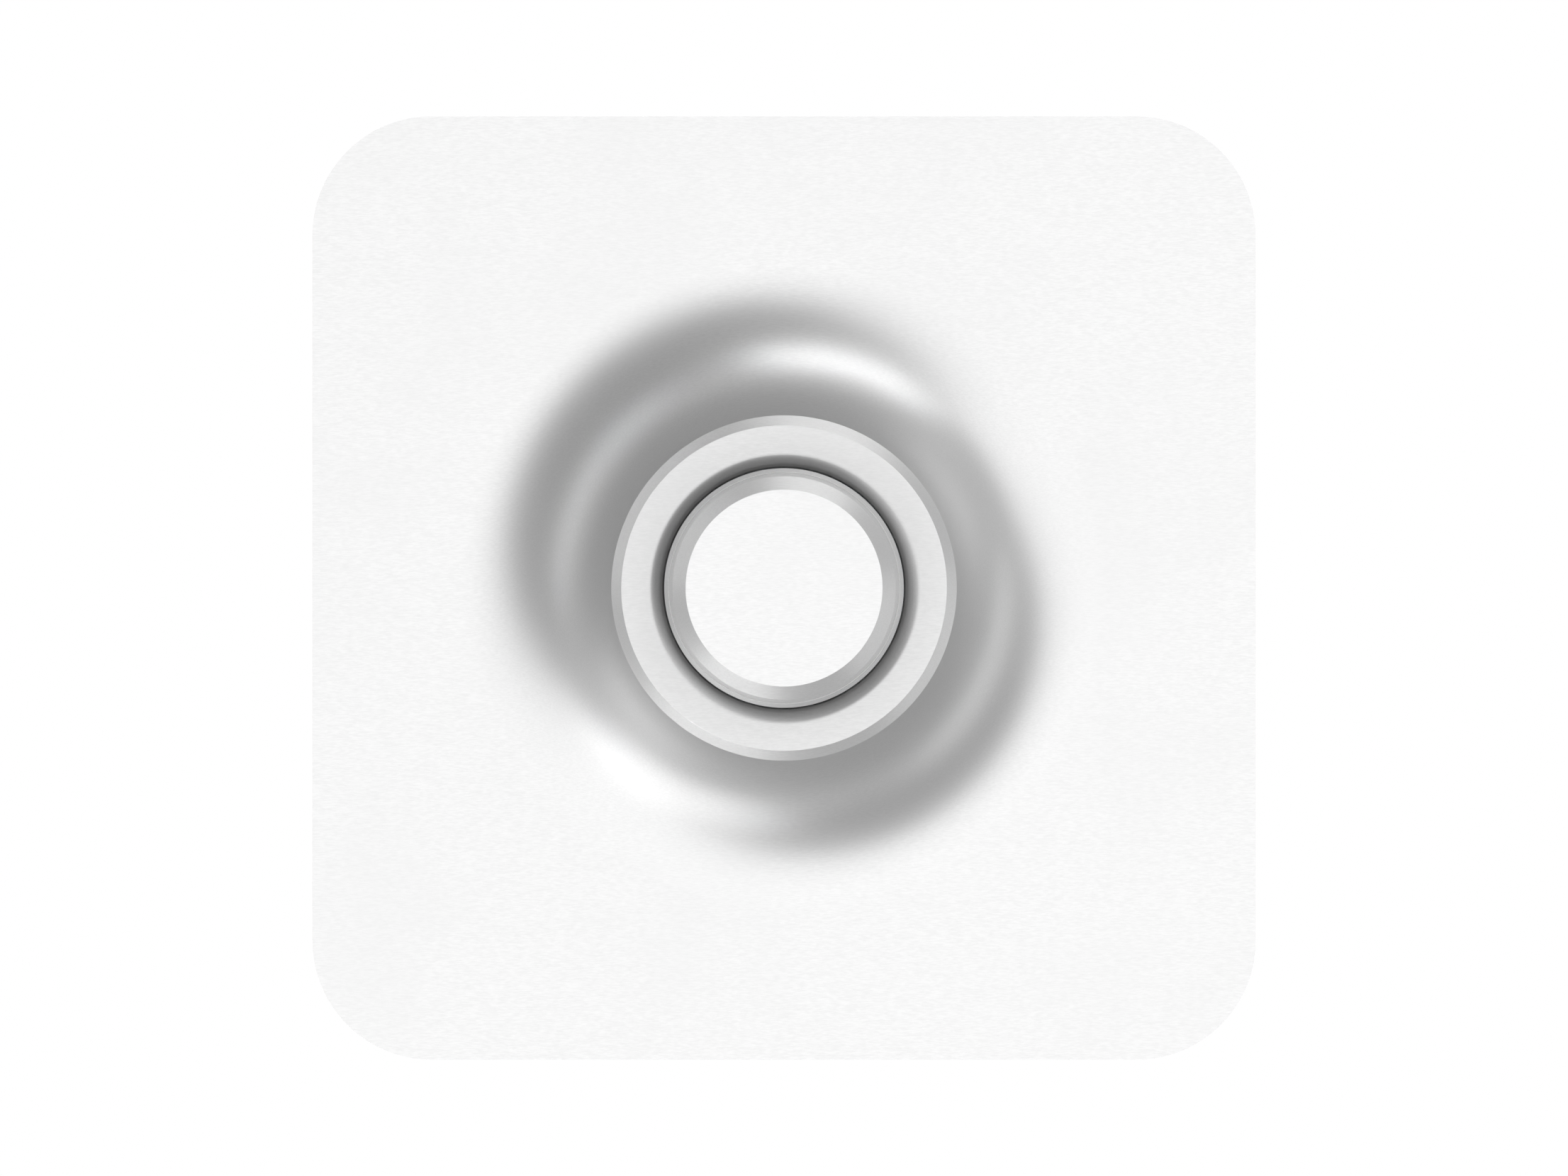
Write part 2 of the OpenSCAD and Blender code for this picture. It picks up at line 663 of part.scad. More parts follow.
face_plate();
grip_collar();
bezel_ring();
cover_cap();
cap_collar();
cap_retainer();
solder_pad(0);  // solder_pad_1
solder_pad(1);  // solder_pad_2
solder_pad(2);  // solder_pad_3
ejector_spring();
spring_rivet();
housing_tube();
set_screw(0);  // set_screw_1
set_screw(1);  // set_screw_2
set_screw(2);  // set_screw_3
lock_nut();
inlet_body();
frame_yoke();
yoke_screw(0);  // yoke_screw_1
yoke_screw(1);  // yoke_screw_2
load_screw();
glass_bulb();
bulb_fluid();
bulb_seat();
valve_plug();
seal_disc();
deflector();
guide_pin(-1);  // guide_pin_1
guide_pin(1);  // guide_pin_2
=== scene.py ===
"""Looks of a concealed fire sprinkler head for a wall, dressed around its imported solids.

The head looks along -Y, +Z is up and the origin lies on the face of the wall. Each class is one sub-assembly:
it works out its surfaces with numpy, in metres, in the head's own frame, and dresses them. Heights are
measured out of the wall, so a height of h lies at y = -h.
"""

import logging
import math
from abc import ABC, abstractmethod
from collections.abc import Iterator, Sequence
from dataclasses import dataclass
from enum import Enum
from typing import NamedTuple

import bpy
import numpy as np
from mathutils import Matrix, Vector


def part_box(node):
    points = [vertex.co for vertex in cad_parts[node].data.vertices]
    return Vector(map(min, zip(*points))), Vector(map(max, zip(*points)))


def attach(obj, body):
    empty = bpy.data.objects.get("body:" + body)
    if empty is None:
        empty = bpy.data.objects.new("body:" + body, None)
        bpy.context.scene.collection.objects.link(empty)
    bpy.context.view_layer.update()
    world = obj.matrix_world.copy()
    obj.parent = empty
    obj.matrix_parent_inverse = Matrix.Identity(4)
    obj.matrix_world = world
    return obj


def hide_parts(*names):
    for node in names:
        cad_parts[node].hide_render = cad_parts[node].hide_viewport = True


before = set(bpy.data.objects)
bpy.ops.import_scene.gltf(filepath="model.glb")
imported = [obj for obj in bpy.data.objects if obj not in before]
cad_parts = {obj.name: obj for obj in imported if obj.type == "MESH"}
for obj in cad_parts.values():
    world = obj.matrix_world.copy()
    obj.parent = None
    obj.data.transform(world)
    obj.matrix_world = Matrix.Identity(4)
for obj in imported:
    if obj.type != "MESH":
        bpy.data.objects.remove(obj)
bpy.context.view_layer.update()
MM = 0.001
TURN = 2 * math.pi
SQUARE = math.pi / 2
# The second mask is painted shade: it darkens the base colour towards black in hollows, gaps and seams.
MASKS = ("edge", "painted_shade")
EDGE_BAND = 0.9 * MM  # width of the stretch at a rim that follows the rim's own outline
RUBBED_ROUNDING = 0.5 * MM  # edges with a smaller rounding are rubbed bright
BLACK = (0.0, 0.0, 0.0, 1.0)
Array = np.ndarray
Pair = tuple[float, float]
Triple = tuple[float, float, float]
Socket = bpy.types.NodeSocket
Feeds = dict[str | int, object]
log = logging.getLogger("sprinkler_head")


class Body(Enum):
    """The bodies of the head that move apart."""

    HEAD = "head"
    CAP = "cap"
    DEFLECTOR = "deflector"
    PLATE = "plate"


class Slot(Enum):
    """The record's material slots."""

    TRIM_STEEL = "trim_steel"
    SPRING_STEEL = "spring_steel"
    HOUSING_STEEL = "housing_steel"
    SCREW_STEEL = "screw_steel"
    FUSIBLE_ALLOY = "fusible_alloy"
    BODY_BRASS = "body_brass"
    NUT_BRASS = "nut_brass"
    DEFLECTOR_BRONZE = "deflector_bronze"
    SEAL_COAT = "seal_coat"
    BULB_GLASS = "bulb_glass"
    BULB_FLUID = "bulb_fluid"


class Marks(Enum):
    """Which way the tool marks of a metal run."""

    SIDEWAYS = "brush lines along X"
    LENGTHWAYS = "drawing lines along the head's axis"
    TURNED = "lathe rings round the head's axis"
    CAST = "even cast grain"


def front_of(node: str) -> float:
    """Height out of the wall of a node's foremost point."""
    return -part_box(node)[0].y


def back_of(node: str) -> float:
    """Height out of the wall of a node's rearmost point."""
    return -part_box(node)[1].y


def unit(vectors: Array) -> Array:
    """Scales vectors in the last axis of an array to a length of one."""
    return vectors / np.linalg.norm(vectors, axis=-1, keepdims=True)


def right_of(along: Array) -> Array:
    """Turns flat vectors in the last axis of an array a quarter turn clockwise."""
    return along[..., ::-1] * (1, -1)


def round_steps(steps: int) -> Array:
    """Angles of equal steps once round a circle."""
    return np.linspace(0, TURN, steps, endpoint=False)


def rays(angle: Array) -> Array:
    """Unit vectors at angles counter-clockwise from the first axis, in a new last axis."""
    return np.stack((np.cos(angle), np.sin(angle)), axis=-1)


def swung(flat: Array, angle: float | Array) -> Array:
    """Turns flat points about the origin: x, y goes to x cos a - y sin a, x sin a + y cos a.

    Args:
        flat: Row of points.
        angle: One angle, or a column of angles that each give a row.

    Returns:
        The turned points.
    """
    x, y = flat.T
    cos, sin = np.cos(angle), np.sin(angle)
    return np.stack((x * cos - y * sin, x * sin + y * cos), axis=-1)


def raised(flat: Array, height: float | Array) -> Array:
    """Gives flat vectors in the last axis of an array a third coordinate, the same for every row."""
    return np.concatenate((flat, np.broadcast_to(height, flat.shape[:-1])[..., None]), axis=-1)


def mitred(outline: Array) -> Array:
    """Offset of each point of a closed outline when every side moves out by one.

    It is the sum of the normals of the point's two sides, divided by one plus the cosine between them.

    Args:
        outline: Points of the outline, counter-clockwise.

    Returns:
        The offsets.
    """
    ahead = right_of(unit(np.roll(outline, -1, axis=0) - outline))
    behind = np.roll(ahead, 1, axis=0)
    return (ahead + behind) / (1 + (ahead * behind).sum(axis=-1, keepdims=True))


@dataclass(frozen=True)
class Placement:
    """A right-handed frame that a piece is drawn in.

    Attributes:
        origin: Where the frame sits.
        side: Direction of the first coordinate.
        out: Direction of the third coordinate, the axis of a turned piece.
    """

    origin: Triple = (0.0, 0.0, 0.0)
    side: Triple = (1.0, 0.0, 0.0)
    out: Triple = (0.0, -1.0, 0.0)

    def directions(self, local: Array) -> Array:
        """Turns vectors along side, up and out, in the last axis of an array, into the head's frame."""
        side, out = np.array(self.side), np.array(self.out)
        return local @ np.stack((side, np.cross(out, side), out))

    def points(self, local: Array) -> Array:
        """Places points along side, up and out, in the last axis of an array, in the head's frame."""
        return self.directions(local) + np.array(self.origin)


HEAD_AXIS = Placement()


class Corner(NamedTuple):
    """A corner of a section.

    Attributes:
        r: Radius of the corner.
        z: Height of the corner.
        rounding: Radius of the arc that rounds it.
        steps: Steps of that arc.
        painted_shade: Painted shade before and after the arc: the share by which the colour is darkened
            towards black.
    """

    r: float
    z: float
    rounding: float = 0.0
    steps: int = 4
    painted_shade: Pair = (0.0, 0.0)


@dataclass(frozen=True)
class Section:
    """A line in the plane of radius and height, with the metal on its left.

    Attributes:
        points: Radius and height of each point.
        normals: Unit normal of each point, pointing out of the metal.
        masks: For each point, how much of a rubbed edge it is, and how much painted shade darkens its colour.
        closed: Whether the last point joins the first.
    """

    points: Array
    normals: Array
    masks: Array
    closed: bool


def rounded_section(corners: Sequence[Corner], closed: bool = True) -> Section:
    """Rounds the corners of an outline with tangent arcs.

    Each corner's arc has its centre on the corner's bisector, at the rounding divided by the sine of half the
    angle. Its normals run from one side's normal to the other's, so flat stretches stay exactly flat. The
    painted shade, which darkens the colour, changes with the square of the way along the arc.

    Args:
        corners: The corners in order, with the metal on the left.
        closed: Whether the last corner joins the first. An open line keeps its two ends as they are.

    Returns:
        The rounded section.
    """
    spots = np.array([(c.r, c.z) for c in corners])
    points, normals, masks = [], [], []
    for i, corner in enumerate(corners):
        here = spots[i]
        ahead = unit(spots[(i + 1) % len(spots)] - here)
        behind = unit(spots[i - 1] - here)
        if not closed and i in (0, len(spots) - 1):
            points.append(here[None])
            normals.append(right_of(ahead if i == 0 else -behind)[None])
            masks.append(np.zeros((1, len(MASKS))))
            continue
        half = math.acos(np.clip(ahead @ behind, -1, 1)) / 2
        bend = np.sign(ahead[0] * behind[1] - ahead[1] * behind[0])
        centre = here + unit(ahead + behind) * corner.rounding / math.sin(half)
        start = here + behind * corner.rounding / math.tan(half) - centre
        share = np.linspace(0, 1, corner.steps + 1 if corner.rounding else 1)
        ray = rays(math.atan2(start[1], start[0]) + bend * (math.pi - 2 * half) * share)
        points.append(centre + corner.rounding * ray)
        normals.append(bend * ray)
        rubbed = bend > 0 and corner.rounding < RUBBED_ROUNDING
        # Painted shade: how far the colour is darkened towards black along the arc.
        before, after = corner.painted_shade
        painted_shade = before + share**2 * (after - before)
        masks.append(np.stack((np.sin(math.pi * share) * rubbed, painted_shade), axis=-1))
    return Section(np.concatenate(points), np.concatenate(normals), np.concatenate(masks), closed)


def free_section(points: Array) -> Section:
    """Makes an open section of a smooth row of points, with normals square to its central differences.

    Args:
        points: Radius and height of each point, with the metal on the left.

    Returns:
        The section.
    """
    normals = unit(right_of(np.gradient(points, axis=0)))
    return Section(points, normals, np.zeros((len(points), len(MASKS))), False)


class Patch(NamedTuple):
    """Faces with one number of corners, and the normal at each face's corner."""

    faces: Array
    normals: Array


@dataclass(frozen=True)
class Surface:
    """A mesh worked out as whole arrays.

    Attributes:
        points: Places in the head's frame.
        masks: Rubbed edge and painted shade of each point.
        patches: Groups of faces over the points.
    """

    points: Array
    masks: Array
    patches: tuple[Patch, ...]

    @classmethod
    def grid(
        cls, points: Array, normals: Array, masks: Array, closed: bool, poles: bool = False,
    ) -> "Surface":
        """Joins a grid of points whose first axis always runs round and closes.

        Args:
            points: Grid of points, rows by columns by three.
            normals: Grid of unit normals.
            masks: Grid of masks, or one row of them for every row of points.
            closed: Whether the columns close on themselves too.
            poles: Whether the first and the last column are each one point on the axis.

        Returns:
            The surface, with triangles round its poles.
        """
        rows, columns = points.shape[:2]
        index = np.arange(rows * columns).reshape(rows, columns)
        if poles:
            index[:, 0], index[:, -1] = index[0, 0], index[0, -1]
        index = np.vstack((index, index[:1]))
        if closed:
            index = np.hstack((index, index[:, :1]))
        corners = (index[:-1, :-1], index[1:, :-1], index[1:, 1:], index[:-1, 1:])
        quads = np.stack(corners, axis=-1).reshape(-1, 4)
        first, last = quads[:, 0] == quads[:, 1], quads[:, 2] == quads[:, 3]
        triangles = np.vstack((quads[first][:, (0, 2, 3)], quads[last][:, (0, 1, 2)]))
        flat = normals.reshape(-1, 3)
        faces = [group for group in (quads[~(first | last)], triangles) if len(group)]
        patches = tuple(Patch(group, flat[group]) for group in faces)
        masks = np.broadcast_to(masks, (rows, columns, len(MASKS)))
        return cls(points.reshape(-1, 3), masks.reshape(-1, len(MASKS)), patches).compact()

    @classmethod
    def joined(cls, parts: Sequence["Surface"]) -> "Surface":
        """Puts several closed surfaces into one mesh.

        Args:
            parts: The surfaces.

        Returns:
            One surface that holds them all.
        """
        shifts = np.cumsum([0] + [len(part.points) for part in parts])
        patches = tuple(
            Patch(patch.faces + shift, patch.normals)
            for part, shift in zip(parts, shifts) for patch in part.patches
        )
        points = np.concatenate([part.points for part in parts])
        return cls(points, np.concatenate([part.masks for part in parts]), patches)

    def capped(self, rim: Array, normal: Array) -> "Surface":
        """Closes a ring of points with one flat face.

        Args:
            rim: Indices of the ring's points, counter-clockwise as seen against the normal.
            normal: The face's unit normal.

        Returns:
            The surface with that face.
        """
        cap = Patch(rim[None], np.broadcast_to(normal, (1, len(rim), 3)))
        return Surface(self.points, self.masks, self.patches + (cap,))

    def compact(self) -> "Surface":
        """Leaves out the points that no face uses.

        Returns:
            The surface with the other points.
        """
        used = np.unique(np.concatenate([patch.faces.ravel() for patch in self.patches]))
        place = np.zeros(len(self.points), dtype=int)
        place[used] = np.arange(len(used))
        patches = tuple(Patch(place[patch.faces], patch.normals) for patch in self.patches)
        return Surface(self.points[used], self.masks[used], patches)

    def mesh(self, name: str) -> bpy.types.Mesh:
        """Makes the mesh, with its own normals and its masks as point attributes.

        Args:
            name: The mesh's name.

        Returns:
            The new mesh.
        """
        corners = np.concatenate([patch.faces.ravel() for patch in self.patches])
        counts = np.concatenate([np.full(len(patch.faces), patch.faces.shape[1]) for patch in self.patches])
        mesh = bpy.data.meshes.new(name)
        mesh.vertices.add(len(self.points))
        mesh.vertices.foreach_set("co", self.points.astype(np.float32).ravel())
        mesh.loops.add(len(corners))
        mesh.loops.foreach_set("vertex_index", corners.astype(np.int32))
        mesh.polygons.add(len(counts))
        mesh.polygons.foreach_set("loop_start", (np.cumsum(counts) - counts).astype(np.int32))
        mesh.polygons.foreach_set("loop_total", counts.astype(np.int32))
        mesh.update(calc_edges=True)
        mesh.shade_smooth()
        normals = [patch.normals.reshape(-1, 3) for patch in self.patches]
        mesh.normals_split_custom_set(np.concatenate(normals))
        for mask, values in zip(MASKS, self.masks.T):
            made = mesh.attributes.new(mask, "FLOAT", "POINT")
            made.data.foreach_set("value", values.astype(np.float32))
        return mesh


def turned(section: Section, placement: Placement = HEAD_AXIS, around: int = 192) -> Surface:
    """Turns a section about the placement's axis: radius r at angle a goes to r cos a, r sin a.

    Args:
        section: The section. An open one starts and ends on the axis.
        placement: The axis.
        around: Number of steps round the axis.

    Returns:
        The turned surface.
    """
    ray = rays(round_steps(around))[:, None]
    points = placement.points(raised(ray * section.points[:, :1], section.points[:, 1]))
    normals = placement.directions(raised(ray * section.normals[:, :1], section.normals[:, 1]))
    return Surface.grid(points, normals, section.masks, section.closed, poles=not section.closed)


class Outline(NamedTuple):
    """A closed outline round the head's axis, counter-clockwise from the angle 0.

    Attributes:
        points: Points of the outline.
        outward: Offset of each point when the outline moves out by one.
        angle: The angles, in rising order, at which the circles inside the outline are joined to its points.
    """

    points: Array
    outward: Array
    angle: Array


def rimmed(section: Section, rim_r: float, outline: Outline) -> Surface:
    """Carries a closed section round the head's axis, with its outer part along an outline of its own.

    Points of the section within EDGE_BAND of rim_r follow the outline, as far inside it as they lie inside
    rim_r, square to it. The other points run round circles.

    Args:
        section: The closed section, drawn as if the outline were a circle of rim_r.
        rim_r: Radius that stands for the outline in the section.
        outline: The outline.

    Returns:
        The surface.
    """
    ray, outward = rays(outline.angle)[:, None], outline.outward[:, None]
    radius, height = section.points[:, :1], section.points[:, 1]
    inset = rim_r - radius
    at_rim = inset < EDGE_BAND
    flat = np.where(at_rim, outline.points[:, None] - inset * outward, ray * radius)
    lean = np.where(at_rim, unit(outward), ray) * section.normals[:, :1]
    points = HEAD_AXIS.points(raised(flat, height))
    normals = HEAD_AXIS.directions(raised(lean, section.normals[:, 1]))
    return Surface.grid(points, normals, section.masks, True)


def sheet_plate(
    outline: Array, low: float, high: float, rounding: float,
    placement: Placement = HEAD_AXIS, steps: int = 3,
) -> Surface:
    """Makes a flat plate of an outline, with quarter-round edges.

    At the angle t of the edge, from -90 to 90 degrees, the side lies rounding times 1 - cos t inside the
    outline.

    Args:
        outline: Points of the outline, counter-clockwise as seen from the front.
        low: Height of the back.
        high: Height of the front.
        rounding: Radius of the edges.
        placement: The plate's frame.
        steps: Steps of an edge.

    Returns:
        The closed plate.
    """
    outward = mitred(outline)[:, None]
    quarter = np.linspace(0, SQUARE, steps + 1)
    t = np.concatenate((quarter - SQUARE, quarter))
    cos, sin = np.cos(t), np.sin(t)
    base = np.repeat((low + rounding, high - rounding), len(quarter))
    flat = outline[:, None] - (rounding * (1 - cos))[:, None] * outward
    points = placement.points(raised(flat, base + rounding * sin))
    normals = placement.directions(raised(unit(outward) * cos[:, None], sin))
    masks = np.stack((np.sin(2 * t) ** 2, np.zeros(len(t))), axis=-1)
    rows, columns = points.shape[:2]
    ring = np.arange(rows) * columns
    out = np.array(placement.out)
    side = Surface.grid(points, normals, masks, False)
    return side.capped(ring + columns - 1, out).capped(ring[::-1], -out)


def strip_surface(points: Array, normals: Array, masks: Array) -> Surface:
    """Joins the cross sections of a strip, and closes its two ends with flat faces.

    Args:
        points: Grid of points, first along the strip and then round its closed cross section.
        normals: Grid of unit normals.
        masks: Masks round the cross section.

    Returns:
        The closed strip.
    """
    rows, columns = points.shape[:2]
    round_points, round_normals = (grid.transpose(1, 0, 2)[::-1] for grid in (points, normals))
    side = Surface.grid(round_points, round_normals, masks[::-1, None], False)
    ring = np.arange(columns) * rows
    ends = [unit(points[i].mean(axis=0) - points[j].mean(axis=0)) for i, j in ((0, 1), (-1, -2))]
    return side.capped(ring[::-1], ends[0]).capped(ring + rows - 1, ends[1])


def grid_normals(points: Array) -> Array:
    """Normals of a grid that closes both ways: the cross product of its central differences.

    Args:
        points: Grid of points, rows by columns by three.

    Returns:
        The unit normals.
    """
    round_way, along = (np.roll(points, -1, axis=i) - np.roll(points, 1, axis=i) for i in range(2))
    return unit(np.cross(round_way, along))


class Graph:
    """Adds nodes to one node tree, and feeds their inputs with values or with other nodes' outputs."""

    def __init__(self, tree: bpy.types.NodeTree) -> None:
        """Starts on a tree."""
        self.tree = tree

    def add(self, kind: str, feeds: Feeds | None = None, **settings: object) -> bpy.types.Node:
        """Adds a node.

        Args:
            kind: The node's type.
            feeds: Value or output for each input, by name or number.
            settings: Values of the node's own properties.

        Returns:
            The node.
        """
        node = self.tree.nodes.new(kind)
        for key, value in settings.items():
            setattr(node, key, value)
        self.feed(node, feeds or {})
        return node

    def feed(self, node: bpy.types.Node, feeds: Feeds) -> None:
        """Links outputs to a node's inputs, or sets the inputs' own values.

        Args:
            node: The node.
            feeds: Value or output for each input, by name or number.
        """
        for key, value in feeds.items():
            if isinstance(value, Socket):
                self.tree.links.new(value, node.inputs[key])
            else:
                node.inputs[key].default_value = value

    def place(self) -> Socket:
        """Object coordinates."""
        return self.add("ShaderNodeTexCoord").outputs["Object"]

    def split(self, vector: Socket) -> Sequence[Socket]:
        """The three coordinates of a vector."""
        return self.add("ShaderNodeSeparateXYZ", {0: vector}).outputs

    def mask(self, name: str) -> Socket:
        """Value of one of the mesh's own masks."""
        return self.add("ShaderNodeAttribute", attribute_name=name, attribute_type="GEOMETRY").outputs["Fac"]

    def noise(self, feeds: Feeds, **settings: object) -> Socket:
        """Value of a noise texture."""
        return self.add("ShaderNodeTexNoise", feeds, **settings).outputs[0]

    def math(self, operation: str, a: object, b: object = 0.0) -> Socket:
        """Result of a Math node on two values."""
        return self.add("ShaderNodeMath", {0: a, 1: b}, operation=operation).outputs[0]

    def radius(self, a: Socket, b: Socket) -> Socket:
        """Root of the sum of two squares."""
        squares = self.math("ADD", self.math("MULTIPLY", a, a), self.math("MULTIPLY", b, b))
        return self.math("SQRT", squares)

    def ramp(self, value: Socket, low: object, high: object, start: float = 0.0, end: float = 1.0) -> Socket:
        """Value carried smoothly from low..high to start..end, and held outside."""
        feeds = {"Value": value, 1: low, 2: high, 3: start, 4: end}
        return self.add("ShaderNodeMapRange", feeds, interpolation_type="SMOOTHSTEP").outputs[0]

    def blend(self, share: Socket, a: object, b: object) -> Socket:
        """Colour that goes from a to b with share."""
        return self.add("ShaderNodeMix", {0: share, 6: a, 7: b}, data_type="RGBA").outputs[2]

    def relief(self, height: Socket, depth: float, strength: float) -> Socket:
        """Normal of a surface with a fine relief."""
        feeds = {"Strength": strength, "Distance": depth, "Height": height}
        return self.add("ShaderNodeBump", feeds).outputs[0]


class Effect(ABC):
    """A shader node group that several finishes share.

    Attributes:
        name: Name of the group.
        given: The group's inputs and their usual values.
        result: Name of its output.
    """

    name: str
    given: dict[str, float]
    result: str

    def tree(self) -> bpy.types.NodeTree:
        """Builds the group's tree at its first use.

        Returns:
            The tree.
        """
        found = bpy.data.node_groups.get(self.name)
        if found:
            return found
        tree = bpy.data.node_groups.new(self.name, "ShaderNodeTree")
        for name, value in self.given.items():
            socket = tree.interface.new_socket(name, in_out="INPUT", socket_type="NodeSocketFloat")
            socket.default_value = value
        tree.interface.new_socket(self.result, in_out="OUTPUT", socket_type="NodeSocketFloat")
        graph = Graph(tree)
        result = self.draw(graph, graph.add("NodeGroupInput").outputs)
        graph.add("NodeGroupOutput", {0: result})
        return tree

    def put(self, graph: Graph, **values: float) -> Socket:
        """Puts the group into a material.

        Args:
            graph: The material's graph.
            values: The group's values, by input name with underscores for spaces.

        Returns:
            The group's output.
        """
        feeds = {name.replace("_", " "): value for name, value in values.items()}
        return graph.add("ShaderNodeGroup", feeds, node_tree=self.tree()).outputs[0]

    @abstractmethod
    def draw(self, graph: Graph, given: Sequence[Socket]) -> Socket:
        """Builds the group's nodes.

        Args:
            graph: The group's graph.
            given: The group's input values.

        Returns:
            The value that the group puts out.
        """


class LineGrain(Effect):
    """Fine lines: noise on Object coordinates, each divided by its own cell length."""

    name = "line_grain"
    given = {"Cell X": MM, "Cell Y": MM, "Cell Z": MM}
    result = "Grain"

    def draw(self, graph: Graph, given: Sequence[Socket]) -> Socket:
        """Divides the coordinates by the cells and reads noise there, coarse and fine.

        Args:
            graph: The group's graph.
            given: The cell's three lengths.

        Returns:
            The grain.
        """
        cells = graph.add("ShaderNodeCombineXYZ", {i: given[i] for i in range(3)}).outputs[0]
        feeds = {0: graph.place(), 1: cells}
        scaled = graph.add("ShaderNodeVectorMath", feeds, operation="DIVIDE").outputs[0]
        return graph.noise({"Vector": scaled, "Scale": 1.0, "Detail": 3.0, "Roughness": 0.6})


class RingGrain(Effect):
    """Lathe marks: noise on the distance from the head's axis and on the height, even round the axis."""

    name = "ring_grain"
    given = {"Ring Width": MM}
    result = "Grain"

    def draw(self, graph: Graph, given: Sequence[Socket]) -> Socket:
        """Divides the radius and the height by the ring width and reads noise there.

        Args:
            graph: The group's graph.
            given: The ring width.

        Returns:
            The grain.
        """
        x, y, z = graph.split(graph.place())
        ways = (graph.radius(x, z), y)
        rings = {i: graph.math("DIVIDE", way, given[0]) for i, way in enumerate(ways)}
        spot = graph.add("ShaderNodeCombineXYZ", rings).outputs[0]
        fine = {"Vector": spot, "Scale": 1.0, "Detail": 2.0, "Roughness": 0.65}
        return graph.noise(fine, noise_dimensions="2D")


class Blotches(Effect):
    """Soft patches, as handling and plating leave them."""

    name = "blotches"
    given = {"Size": 10 * MM, "Low": 0.45, "High": 0.7}
    result = "Mask"

    def draw(self, graph: Graph, given: Sequence[Socket]) -> Socket:
        """Cuts the patches out of slow noise on Object coordinates.

        Args:
            graph: The group's graph.
            given: The patches' size, and the noise between which they set in.

        Returns:
            The patches' mask.
        """
        place, scale = graph.place(), graph.math("DIVIDE", 1.0, given[0])
        slow = {"Vector": place, "Scale": scale, "Detail": 4.0, "Roughness": 0.55, "Distortion": 0.4}
        return graph.ramp(graph.noise(slow), given[1], given[2])


class WornEdge(Effect):
    """Bright rubbed edges: the mesh's own edge mask, broken up by noise."""

    name = "worn_edge"
    given = {"Break": 2 * MM, "Amount": 0.5}
    result = "Mask"
    cut = (0.3, 0.65)

    def draw(self, graph: Graph, given: Sequence[Socket]) -> Socket:
        """Multiplies the edge mask, the amount and soft noise.

        Args:
            graph: The group's graph.
            given: The size of the breaks, and the amount.

        Returns:
            The rubbed edges' mask.
        """
        place, scale = graph.place(), graph.math("DIVIDE", 1.0, given[0])
        noise = graph.noise({"Vector": place, "Scale": scale, "Detail": 3.0})
        edge = graph.math("MULTIPLY", graph.mask(MASKS[0]), given[1])
        return graph.math("MULTIPLY", edge, graph.ramp(noise, *self.cut))


class PaintedHollowShade(Effect):
    """Painted shade in hollows and gaps: the mesh's own painted shade mask, a little uneven, which darkens
    the colour.
    """

    name = "painted_hollow_shade"
    given = {"Unevenness": 0.05}
    result = "Mask"

    def draw(self, graph: Graph, given: Sequence[Socket]) -> Socket:
        """Takes slow noise off the painted shade mask in proportion.

        Args:
            graph: The group's graph.
            given: The unevenness.

        Returns:
            The painted shade's mask.
        """
        noise = graph.noise({"Vector": graph.place(), "Scale": 90.0, "Detail": 2.0})
        painted_shade = graph.mask(MASKS[1])
        loss = graph.math("MULTIPLY", graph.math("SUBTRACT", noise, 0.5), given[0])
        return graph.math("MULTIPLY", painted_shade, graph.math("SUBTRACT", 1.0, loss))


LINE_GRAIN = LineGrain()
RING_GRAIN = RingGrain()
BLOTCHES = Blotches()
WORN_EDGE = WornEdge()
PAINTED_HOLLOW_SHADE = PaintedHollowShade()


@dataclass(frozen=True)
class Finish(ABC):
    """A finish: a material that is built once and worn by many pieces.

    Attributes:
        name: Name of the material.
        slot: The record's slot; not used.
    """

    name: str
    slot: Slot

    @abstractmethod
    def draw(self, graph: Graph, shader: bpy.types.Node) -> None:
        """Sets and feeds the material's shader.

        Args:
            graph: The material's graph.
            shader: Its Principled shader.
        """

    def material(self) -> bpy.types.Material:
        """Builds the finish's material at its first use.

        Returns:
            The material.
        """
        found = bpy.data.materials.get(self.name)
        if found:
            return found
        material = bpy.data.materials.new(self.name)
        material.use_nodes = True
        self.draw(Graph(material.node_tree), material.node_tree.nodes["Principled BSDF"])
        return material


